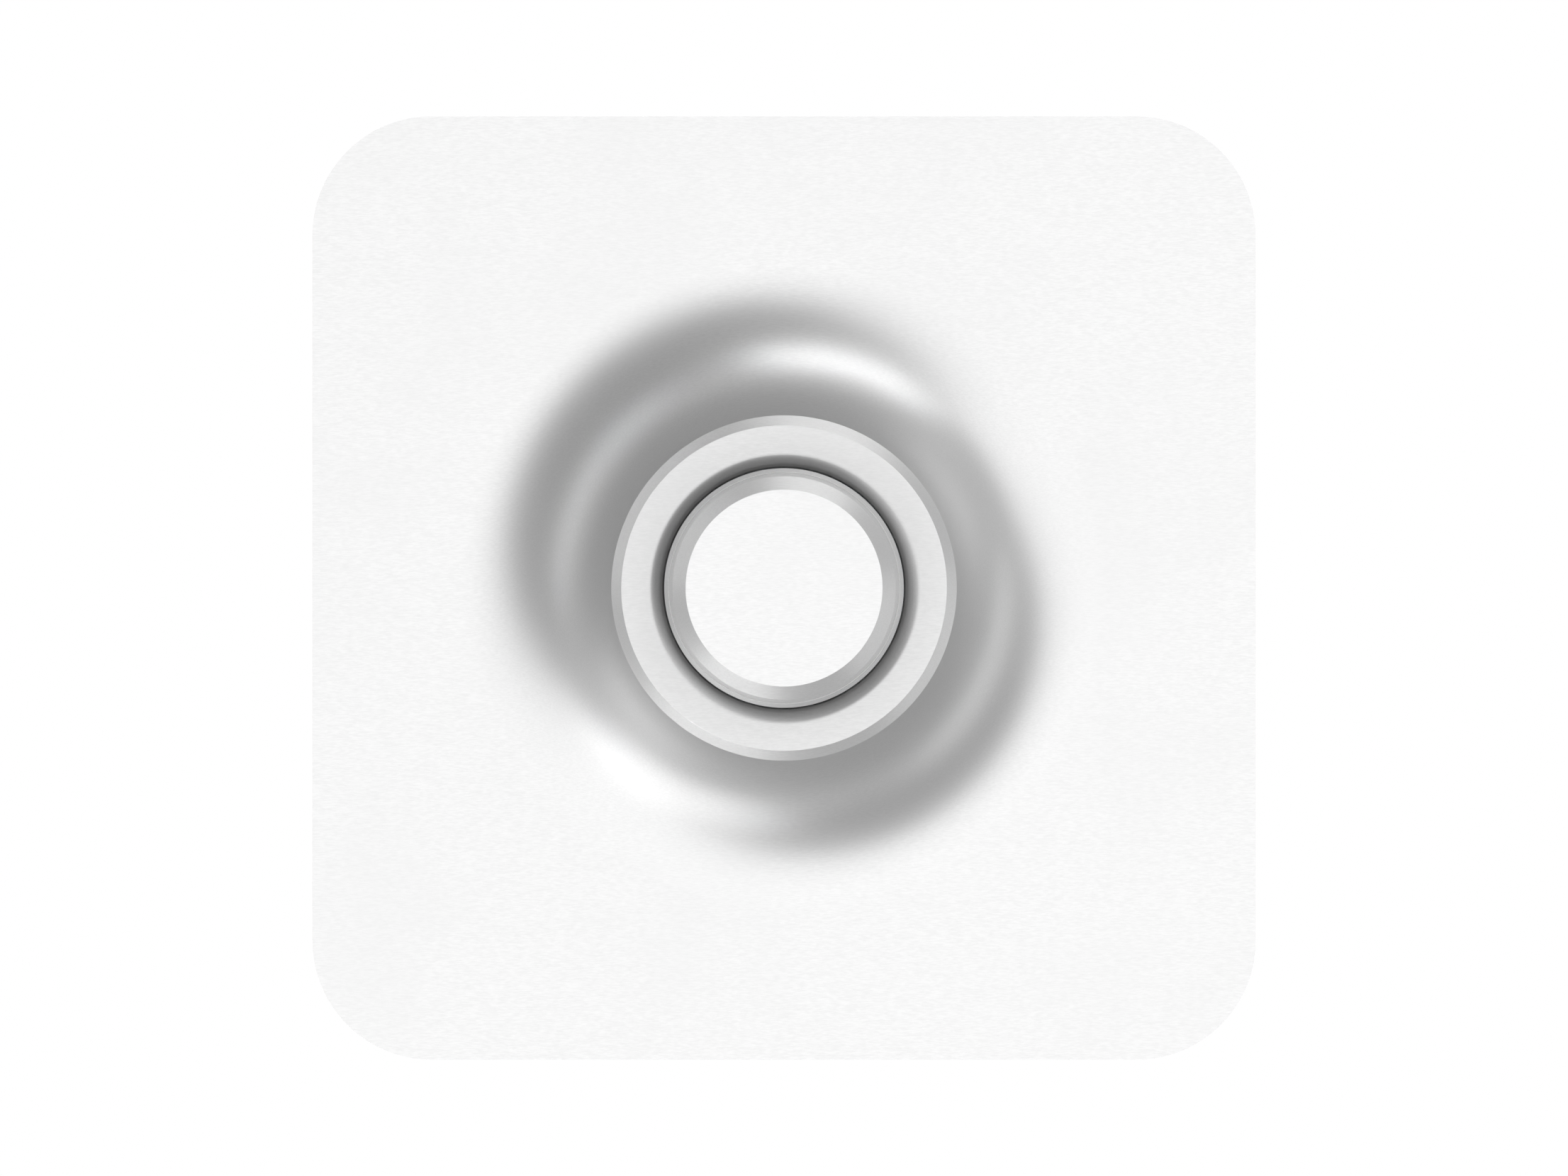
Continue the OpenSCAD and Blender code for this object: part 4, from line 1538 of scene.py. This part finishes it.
@dataclass
class InletBody(SubAssembly):
    """The body that screws into the branch pipe.

    Attributes:
        pipe_r: Crest radius of the pipe thread.
        pipe_pitch: Pitch of the pipe thread.
        pipe_depth: Depth of the pipe thread.
        pipe_len: Length of the pipe thread.
        pipe_runout: Length without a thread before the hexagon, in pitches.
        pipe_chamfer: How far inside the crests the chamfer at the inlet starts.
        end_inset: How far inside the crests the flat of the inlet's end starts.
        thread_flat: Share of half a pitch that is flat at a crest or a root.
        hex_len: Length of the wrench hexagon.
        hex_half: Half the hexagon's width across its flats.
        hex_corner: Radius of the hexagon's blunt corners, as a share of the sharp corner's.
        cone_start: Radius where the hexagon's cone starts, as a share of hex_half.
        cone_slope: How much wider the cone grows with its height.
        cone_len: Length over which the cone is drawn.
        cone_rows: Rows of points over that length.
        flat_start: Distance of the hexagon's plain rows from its rear face.
        flat_rows: Number of plain rows.
        boss_r: Radius of the threaded boss.
        boss_pitch: Pitch of the boss's fine thread.
        boss_depth: Depth of the boss's fine thread.
        boss_thread: Length of the boss's thread that shows.
        nozzle: Height of the nozzle above the boss.
        nozzle_r: Outer radius of the nozzle.
        bore_r: Radius of the nozzle's bore.
        waterway_r: Radius of the waterway.
        waterway: Length of the waterway.
        crisp: Rounding of the edges.
        pipe_step: Distance of the rows over the pipe thread.
        boss_step: Distance of the rows over the boss's thread.
        crest_slope: Slope at which a crest stops being rubbed.
        crest_depth: Depth below the crests at which a crest stops being rubbed.
        around: Steps round the body.
    """

    pipe_r: float = 10.48 * MM
    pipe_pitch: float = 1.814 * MM
    pipe_depth: float = 1.1 * MM
    pipe_len: float = 15 * MM
    pipe_runout: float = 0.3
    pipe_chamfer: float = 1.32 * MM
    end_inset: float = 1.43 * MM
    thread_flat: float = 0.16
    hex_len: float = 7 * MM
    hex_half: float = 12 * MM
    hex_corner: float = 0.99091
    cone_start: float = 0.985
    cone_slope: float = math.tan(math.radians(60))
    cone_len: float = 1.4 * MM
    cone_rows: int = 14
    flat_start: float = 1.9 * MM
    flat_rows: int = 8
    boss_r: float = 14.15 * MM
    boss_pitch: float = 1.0 * MM
    boss_depth: float = 0.4 * MM
    boss_thread: float = 3.2 * MM
    nozzle: float = 3 * MM
    nozzle_r: float = 7.4 * MM
    bore_r: float = 6 * MM
    waterway_r: float = 6.5 * MM
    waterway: float = 29.9 * MM
    crisp: float = 0.2 * MM
    pipe_step: float = 0.11 * MM
    boss_step: float = 0.088 * MM
    crest_slope: float = 0.2
    crest_depth: float = 0.275 * MM
    around: int = 288
    body: Body = Body.HEAD

    def thread_cut(self, angle: Array, height: Array, pitch: float) -> Array:
        """Depth of a V thread, from 0 at its crests to 1 at its roots.

        The height over the pitch, less the share of a turn, gives the place between two crests. A wave that
        falls and rises in straight lines over it is clipped flat at crest and root.

        Args:
            angle: Angles round the axis.
            height: Heights along it.
            pitch: The thread's pitch.

        Returns:
            The depth at each angle and height.
        """
        place = (height / pitch - angle / TURN) % 1
        return np.clip((np.abs(2 * place - 1) - self.thread_flat) / (1 - 2 * self.thread_flat), 0, 1)

    def pipe(self, angle: Array, end: float) -> tuple[Array, Array]:
        """Helical pipe thread, chamfered at the inlet and fading out before the hexagon.

        Args:
            angle: Angles round the axis.
            end: Height of the inlet's end.

        Returns:
            Radii by angle and height, and the heights.
        """
        top = end + self.pipe_len
        height = np.arange(end, top - self.crisp, self.pipe_step)
        fade = np.clip((top - height) / self.pipe_pitch - self.pipe_runout, 0, 1)
        radius = self.pipe_r - self.pipe_depth * self.thread_cut(angle, height, self.pipe_pitch) * fade
        return np.minimum(radius, self.pipe_r - self.pipe_chamfer + (height - end)), height

    def hexagon(self, angle: Array, low: float) -> tuple[Array, Array]:
        """Hexagon: the apothem over the cosine from the nearest flat's middle, cut by a 30 degree cone.

        Args:
            angle: Angles round the axis.
            low: Height of its rear face.

        Returns:
            Radii by angle and height, and the heights.
        """
        rise = np.concatenate((
            np.linspace(0, self.cone_len, self.cone_rows),
            np.linspace(self.flat_start, self.hex_len, self.flat_rows),
        ))
        share = TURN / 6
        flats = self.hex_half / np.cos(angle % share - share / 2)
        blunt = self.hex_corner * self.hex_half / math.cos(share / 2)
        cone = self.cone_start * self.hex_half + rise * self.cone_slope
        return np.minimum(np.minimum(flats, blunt), cone), low + rise

    def boss(self, angle: Array, low: float) -> tuple[Array, Array]:
        """Boss with a fine thread behind the nut.

        Args:
            angle: Angles round the axis.
            low: Height of its rear face.

        Returns:
            Radii by angle and height, and the heights.
        """
        height = np.arange(low, low + self.boss_thread, self.boss_step)
        fade = np.clip((height - low - self.crisp) / self.boss_pitch, 0, 1)
        fade = fade * np.clip((low + self.boss_thread - height) / self.boss_pitch, 0, 1)
        radius = self.boss_r - self.boss_depth * self.thread_cut(angle, height, self.boss_pitch) * fade
        return np.minimum(radius, self.boss_r - 2 * self.crisp + (height - low)), height

    def surface(self) -> Surface:
        """Threads, hexagon and boss as radii by angle and height, closed by the nozzle and the waterway.

        Returns:
            The body.
        """
        end, seat = back_of("inlet_body"), front_of("inlet_body")
        hex_low, face = end + self.pipe_len, seat - self.nozzle
        angle = round_steps(self.around)[:, None]
        inside = rounded_section((
            Corner(self.boss_r, face - 2 * self.crisp),
            Corner(self.boss_r, face, self.crisp),
            Corner(self.nozzle_r, face, self.crisp),
            Corner(self.nozzle_r, seat, self.crisp),
            Corner(self.bore_r, seat, self.crisp),
            Corner(self.bore_r, end + self.waterway, self.crisp),
            Corner(self.waterway_r, end + self.waterway, self.crisp),
            Corner(self.waterway_r, end, 2 * self.crisp),
            Corner(self.pipe_r - self.end_inset, end),
        ), closed=False).points
        stretches = (
            self.pipe(angle, end),
            self.hexagon(angle, hex_low),
            self.boss(angle, hex_low + self.hex_len),
            (np.broadcast_to(inside[:, 0], (self.around, len(inside))), inside[:, 1]),
        )
        radius = np.concatenate([r for r, _ in stretches], axis=1)
        height = np.concatenate([z for _, z in stretches])
        points = HEAD_AXIS.points(raised(rays(angle) * radius[..., None], height))
        level = np.clip(1 - np.abs(np.gradient(radius, axis=1)) / (self.crest_slope * self.pipe_step), 0, 1)
        outermost = np.clip(1 - (self.pipe_r - radius) / self.crest_depth, 0, 1)
        masks = np.stack((level * outermost * (height < hex_low), np.zeros_like(radius)), axis=-1)
        return Surface.grid(points, grid_normals(points), masks, True)

    def build(self) -> Iterator[str]:
        """Makes the body."""
        yield self.piece("threaded_inlet_body", self.surface(), BODY_BRASS, "inlet_body")


@dataclass
class ValveStack(SubAssembly):
    """The yoke, the bulb and the valve that it holds shut.

    Attributes:
        bulb_r: Radius of the bulb.
        glass: Thickness of its glass.
        tip_r: Radius of its tip.
        tip: Length of its tip.
        fillet: How far the shoulder's foot stands out from the tip.
        bubble: Radius of the bubble in the fluid.
        gap: Gap between the glass and the fluid.
        around: Steps round the bulb.
    """

    bulb_r: float = 2 * MM
    glass: float = 0.4 * MM
    tip_r: float = 0.9 * MM
    tip: float = 1.6 * MM
    fillet: float = 0.15 * MM
    bubble: float = 0.7 * MM
    gap: float = 0.025 * MM
    around: int = 96
    body: Body = Body.HEAD

    def __post_init__(self) -> None:
        """Takes the heights of the bulb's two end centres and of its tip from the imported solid."""
        self.top = front_of("glass_bulb")
        self.low = back_of("glass_bulb") + self.bulb_r
        self.high = self.top - self.tip - self.bulb_r

    def arc(self, radius: float, centre: float, start: float, end: float, steps: int = 12) -> Array:
        """Arc about a point of the axis: at the angle a it lies at radius cos a, centre + radius sin a.

        Args:
            radius: The arc's radius.
            centre: Height of its centre.
            start: Angle of its first point.
            end: Angle of its last point.
            steps: Steps along it.

        Returns:
            Radius and height of each point.
        """
        return np.array((0.0, centre)) + radius * rays(np.linspace(start, end, steps + 1))

    def glass_shell(self) -> Surface:
        """Outer and inner skin of the bulb, turned about the head's axis; the inner one faces inwards.

        The outside is a barrel's lower end and side, a swept shoulder and the drawn tip. The inside is a
        barrel.

        Returns:
            The glass.
        """
        shoulder = math.acos((self.tip_r + self.fillet) / self.bulb_r)
        inner_r = self.bulb_r - self.glass
        outer = np.concatenate((
            self.arc(self.bulb_r, self.low, -SQUARE, 0),
            self.arc(self.bulb_r, self.high, 0, shoulder, steps=9),
            self.arc(self.tip_r, self.top - self.tip_r, 0, SQUARE, steps=8),
        ))
        inner = np.concatenate((
            self.arc(inner_r, self.high, SQUARE, 0),
            self.arc(inner_r, self.low, 0, -SQUARE),
        ))
        return Surface.joined([turned(free_section(skin), around=self.around) for skin in (outer, inner)])

    def fluid(self) -> Surface:
        """The fluid's barrel, a hair inside the glass, with a bubble's dent in its upper end.

        The bubble's centre lies half its radius below the glass. The two spheres meet at the height
        (radius² - bubble² + lift²) / (2 lift) over the upper end's centre, where lift is the height of the
        bubble's centre.

        Returns:
            The fluid.
        """
        inner_r = self.bulb_r - self.glass
        radius, lift = inner_r - self.gap, inner_r - self.bubble / 2
        meet = (radius**2 - self.bubble**2 + lift**2) / (2 * lift)
        dent = self.arc(self.bubble, self.high + lift, math.asin((meet - lift) / self.bubble), -SQUARE)
        section = np.concatenate((
            self.arc(radius, self.low, -SQUARE, 0),
            self.arc(radius, self.high, 0, math.asin(meet / radius)),
            dent[1:],
        ))
        return turned(free_section(section), around=self.around)

    def build(self) -> Iterator[str]:
        """Makes the bulb and dresses the yoke and the valve."""
        yield self.piece("bulb_glass_shell", self.glass_shell(), BULB_GLASS, "glass_bulb")
        yield self.piece("bulb_fluid_fill", self.fluid(), BULB_FLUID, "bulb_fluid")
        yield dressed("frame_yoke", BODY_BRASS)
        for node in ("load_screw", "bulb_seat", "valve_plug"):
            yield dressed(node, NUT_BRASS)
        yield dressed("seal_disc", SEAL_COAT)
        for i in range(1, 3):
            yield dressed(f"yoke_screw_{i}", SCREW_STEEL)


@dataclass
class SprayDeflector(SubAssembly):
    """The slotted deflector with its canopy, and the two guide pins that carry it.

    Attributes:
        sheet: Thickness of the disc.
        slot_places: Number of equal places round the disc that may hold a slot.
        slot_half: Half the width of a slot.
        slot_root: Radius of the centre of a slot's round end.
        wall_steps: Steps along a slot's wall.
        root_steps: Steps round a slot's end.
        rim_step: Angle of a step along the rim.
        canopy_half: Half the width of the canopy.
        canopy_t: Thickness of the canopy.
        canopy_gap: Distance of the canopy from the disc's rim.
        canopy_corner: Rounding of the canopy's front corners.
        stamped: Rounding of the stamped edges.
        pin_r: Radius of a pin's shaft.
        pin_neck_r: Radius of a pin where it runs through the disc.
        pin_head_r: Radius of a pin's head and tail.
        pin_dome: Rounding of a pin's head.
        pin_tail: Thickness of a pin's tail.
    """

    sheet: float = 1.2 * MM
    slot_places: int = 14
    slot_half: float = 0.75 * MM
    slot_root: float = 6.2 * MM
    wall_steps: int = 7
    root_steps: int = 10
    rim_step: float = 0.04
    canopy_half: float = 4 * MM
    canopy_t: float = 1 * MM
    canopy_gap: float = 0.3 * MM
    canopy_corner: float = 1.2 * MM
    stamped: float = 0.18 * MM
    pin_r: float = 1 * MM
    pin_neck_r: float = 0.7 * MM
    pin_head_r: float = 1.5 * MM
    pin_dome: float = 0.5 * MM
    pin_tail: float = 1.5 * MM
    body: Body = Body.DEFLECTOR

    def slot_angles(self, rim_r: float) -> Array:
        """Directions of the slots: of the equal places round the disc, those clear of pins and canopy.

        Args:
            rim_r: Radius of the disc.

        Returns:
            The angles.
        """
        angle = (np.arange(self.slot_places) + 0.5) * TURN / self.slot_places
        off_pins = np.abs(np.sin(angle)) * self.slot_root > self.pin_head_r + self.slot_half
        off_canopy = np.abs(np.cos(angle)) * rim_r > self.canopy_half + 2 * self.slot_half
        return angle[off_pins & (off_canopy | (np.sin(angle) < 0))]

    def outline(self, rim_r: float) -> Array:
        """Disc with radial slots: each slot's wall, round root and other wall, and an arc to the next slot.

        Args:
            rim_r: Radius of the disc.

        Returns:
            Points of the outline, counter-clockwise.
        """
        slots = self.slot_angles(rim_r)
        mouth = math.asin(self.slot_half / rim_r)
        inwards = np.linspace(rim_r * math.cos(mouth), self.slot_root, self.wall_steps + 1)[:-1]
        wall = np.stack((inwards, np.full_like(inwards, -self.slot_half)), axis=-1)
        bend = self.slot_half * rays(np.linspace(-SQUARE, SQUARE, self.root_steps + 1))
        slot = np.concatenate((wall, (self.slot_root, 0.0) + bend * (-1, 1), wall[::-1] * (1, -1)))
        parts = []
        for angle, gap in zip(slots, (np.roll(slots, -1) - slots) % TURN):
            arc = np.linspace(angle + mouth, angle + gap - mouth, round(gap / self.rim_step))[1:-1]
            parts += (swung(slot, angle), rim_r * rays(arc))
        return np.concatenate(parts)

    def disc(self) -> Surface:
        """The slotted disc, and the canopy that stands on it as a second plate.

        Returns:
            Both plates.
        """
        rim_r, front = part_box("deflector")[1].x, front_of("deflector")
        back = back_of("deflector")
        base = back + self.sheet
        half, corner = self.canopy_half, self.canopy_corner
        disc = sheet_plate(self.outline(rim_r), back, base, self.stamped)
        tab = rounded_section((
            Corner(-half, base),
            Corner(half, base),
            Corner(half, front, corner, steps=8),
            Corner(-half, front, corner, steps=8),
        ))
        top = math.sqrt(rim_r**2 - half**2) - self.canopy_gap
        upright = Placement(side=(-1.0, 0.0, 0.0), out=(0.0, 0.0, 1.0))
        canopy = sheet_plate(tab.points, top - self.canopy_t, top, self.stamped, upright)
        return Surface.joined([disc, canopy])

    def pin(self, node: str) -> Surface:
        """Section of one pin's tail, shaft and domed head, turned about the pin's own axis.

        Args:
            node: The pin's node.

        Returns:
            The pin.
        """
        low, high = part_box(node)
        middle = (low.x + high.x) / 2
        tail, head = -high.y, -low.y
        plate_back = back_of("deflector")
        plate_front = plate_back + self.sheet
        return turned(rounded_section((
            Corner(0, tail),
            Corner(self.pin_head_r, tail, self.stamped),
            Corner(self.pin_head_r, tail + self.pin_tail, self.stamped),
            Corner(self.pin_r, tail + self.pin_tail, self.stamped / 2),
            Corner(self.pin_r, plate_back, self.stamped / 2),
            Corner(self.pin_neck_r, plate_back, self.stamped / 3),
            Corner(self.pin_neck_r, plate_front, self.stamped / 3),
            Corner(self.pin_head_r, plate_front, self.stamped / 2),
            Corner(self.pin_head_r, head, self.pin_dome, steps=8),
            Corner(0, head),
        ), closed=False), Placement(origin=(middle, 0.0, 0.0)), around=64)

    def build(self) -> Iterator[str]:
        """Makes the deflector and its pins."""
        yield self.piece("slotted_deflector", self.disc(), DEFLECTOR_BRONZE, "deflector")
        for i in range(1, 3):
            node = f"guide_pin_{i}"
            yield self.piece(f"peened_{node}", self.pin(node), SCREW_STEEL, node)


@dataclass(frozen=True)
class SoftBox:
    """A flat soft light.

    Attributes:
        name: Name of the light.
        polar: Angle of its normal from the camera's axis, in degrees.
        clock: Direction of its normal round that axis, in degrees clockwise from the camera's top.
        size: Width round the axis and height towards it.
        glow: Brightness of its face.
        shift: Shift of its middle in its own plane.
        distance: Distance of its plane from the head.
        mirrored: Whether metal mirrors it.
        direct: Whether it lights only what the camera sees, and nothing by way of other metal.
    """

    name: str
    polar: float
    clock: float
    size: Pair
    glow: float
    shift: Pair = (0.0, 0.0)
    distance: float = 1.2
    mirrored: bool = True
    direct: bool = False

    def make(self) -> str:
        """Makes the light, hidden from the camera.

        Returns:
            The light's name.
        """
        polar, clock = math.radians(self.polar), math.radians(self.clock)
        lean = math.sin(polar)
        away = np.array((lean * math.sin(clock), -math.cos(polar), lean * math.cos(clock)))
        side = np.array((math.cos(clock), 0.0, -math.sin(clock)))
        rise = np.cross(away, side)
        place = away * self.distance + side * self.shift[0] + rise * self.shift[1]
        light = bpy.data.lights.new(self.name, "AREA")
        light.shape = "RECTANGLE"
        light.size, light.size_y = self.size
        light.energy = self.glow * math.pi * self.size[0] * self.size[1]
        if self.direct:
            light.cycles.max_bounces = 0
            light.cycles.use_multiple_importance_sampling = False
        made = bpy.data.objects.new(self.name, light)
        bpy.context.scene.collection.objects.link(made)
        rows = np.stack((side, rise, away, place), axis=-1).tolist()
        made.matrix_world = Matrix([*rows, (0.0, 0.0, 0.0, 1.0)])
        made.visible_camera = False
        made.visible_glossy = self.mirrored
        return self.name


@dataclass
class Studio:
    """Camera, pale floor and soft light.

    Attributes:
        distance: Distance of the camera from the plate's front.
        sight: How far the camera sees.
        frame_px: Width of the photo.
        plate_px: Width of the plate in the photo.
        sensor: Width of the camera's sensor, in millimetres.
        floor_drop: Depth of the floor below the head's axis.
        floor_r: Radius of the floor.
        floor_fade: Radius where the floor starts to fade.
        floor_steps: Steps round the floor.
        floor_greys: The two greys of the floor's mottle.
        front_grey: Brightness of the room behind the camera.
        front_edge: Share of the way to the camera's side at which that brightness is reached.
        horizon_grey: Brightness of the room beside and behind the head.
        paper_grey: Brightness of the backdrop to the sides.
        paper_edge: Shares of the way to the camera's side between which the white backdrop turns pale.
        boxes: The soft lights.
    """

    distance: float = 5.0
    sight: float = 50.0
    frame_px: float = 2212
    plate_px: float = 1330
    sensor: float = 36.0
    floor_drop: float = 0.075
    floor_r: float = 0.6
    floor_fade: float = 0.3
    floor_steps: int = 96
    floor_greys: Pair = (0.82, 0.84)
    front_grey: float = 0.275
    front_edge: float = 0.41
    horizon_grey: float = 0.49
    paper_grey: float = 0.72
    paper_edge: Pair = (-0.99, -0.9)
    boxes: tuple[SoftBox, ...] = (
        SoftBox("front_box", 0, -36, (6.8, 1.49), 0.935, (-0.52, -0.24)),
        SoftBox("upper_right_box", 74, 15.5, (0.92, 0.34), 1.93, direct=True),
        SoftBox("right_box", 84, 112, (1.34, 0.336), 0.43, direct=True),
        SoftBox("lower_left_box", 74.5, 207.5, (1.03, 0.62), 0.9, direct=True),
        SoftBox("left_box", 81.3, 298.8, (1.42, 0.336), 0.42, direct=True),
        SoftBox("rear_box", 148, 100, (1.6, 1.2), 0.7),
        SoftBox("floor_light", 90, 0, (3.0, 3.0), 0.7, distance=2.0, mirrored=False),
    )

    def camera(self) -> str:
        """Sets a long lens straight in front of the head, framed as in the photo.

        Returns:
            The camera's name.
        """
        lens = bpy.data.cameras.new("camera")
        side = 2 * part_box("face_plate")[1].x
        lens.sensor_fit = "HORIZONTAL"
        lens.sensor_width = self.sensor
        lens.lens = self.sensor * self.distance * self.plate_px / (self.frame_px * side)
        lens.clip_end = self.sight
        made = bpy.data.objects.new("camera", lens)
        made.location = (0.0, -self.distance, 0.0)
        made.rotation_euler = (SQUARE, 0.0, 0.0)
        bpy.context.scene.collection.objects.link(made)
        bpy.context.scene.camera = made
        return made.name

    def room(self) -> str:
        """Makes the white and pale grey backdrop that the camera sees, and the grey room that metal mirrors.

        Returns:
            The room's name.
        """
        world = bpy.data.worlds.new("studio")
        world.use_nodes = True
        bpy.context.scene.world = world
        graph = Graph(world.node_tree)
        world.node_tree.nodes.clear()
        direction = graph.add("ShaderNodeTexCoord").outputs["Generated"]
        towards = graph.math("MULTIPLY", graph.split(direction)[1], -1.0)
        front = graph.ramp(towards, 0.0, self.front_edge, 0.0, self.front_grey - self.horizon_grey)
        grey = graph.math("ADD", front, self.horizon_grey)
        paper = graph.ramp(towards, *self.paper_edge, 1.0, self.paper_grey)
        seen = graph.add("ShaderNodeLightPath").outputs["Is Camera Ray"]
        mirrored, backdrop = (
            graph.add("ShaderNodeBackground", {0: shade, 1: 1.0}).outputs[0] for shade in (grey, paper)
        )
        both = graph.add("ShaderNodeMixShader", {0: seen, 1: mirrored, 2: backdrop}).outputs[0]
        graph.add("ShaderNodeOutputWorld", {0: both})
        bpy.context.scene.view_settings.view_transform = "Standard"
        return world.name

    def floor(self) -> str:
        """Makes a pale disc below the head that fades into the background towards its rim.

        Returns:
            The floor's name.
        """
        rim = raised(self.floor_r * rays(round_steps(self.floor_steps)), -self.floor_drop)
        bare = Surface(rim, np.zeros((len(rim), len(MASKS))), ())
        disc = bare.capped(np.arange(len(rim)), np.array((0.0, 0.0, 1.0)))
        made = bpy.data.objects.new("floor", disc.mesh("floor"))
        made.data.materials.append(self.floor_finish())
        made.visible_glossy = False
        made.visible_shadow = False
        bpy.context.scene.collection.objects.link(made)
        return made.name

    def floor_finish(self) -> bpy.types.Material:
        """Matt pale floor, faintly mottled, clear at its rim.

        Returns:
            The floor's material.
        """
        material = bpy.data.materials.new("pale_floor")
        material.use_nodes = True
        graph = Graph(material.node_tree)
        mottle = BLOTCHES.put(graph, Size=0.2, Low=0.3, High=0.7)
        tint = graph.blend(mottle, *((grey, grey, grey, 1) for grey in self.floor_greys))
        x, y, _ = graph.split(graph.place())
        graph.feed(material.node_tree.nodes["Principled BSDF"], {
            "Base Color": tint,
            "Roughness": 0.9,
            "Specular IOR Level": 0.0,
            "Alpha": graph.ramp(graph.radius(x, y), self.floor_fade, self.floor_r, 1.0, 0.0),
        })
        return material

    def build(self) -> Iterator[str]:
        """Makes the camera, the room, the floor and the lights."""
        for make in (self.camera, self.room, self.floor, *(box.make for box in self.boxes)):
            yield make()


def main() -> None:
    """Builds the studio and each sub-assembly in order, and reports every piece."""
    logging.basicConfig(level=logging.INFO, format="%(name)s: %(message)s")
    groups = (
        Studio(), FaceTrim(), BezelTrim(), DropCap(), CapRelease(), HousingGroup(), InletBody(), ValveStack(),
        SprayDeflector(),
    )
    for group in groups:
        for name in group.build():
            log.info("%s: %s", type(group).__name__, name)


if __name__ == "__main__":
    main()
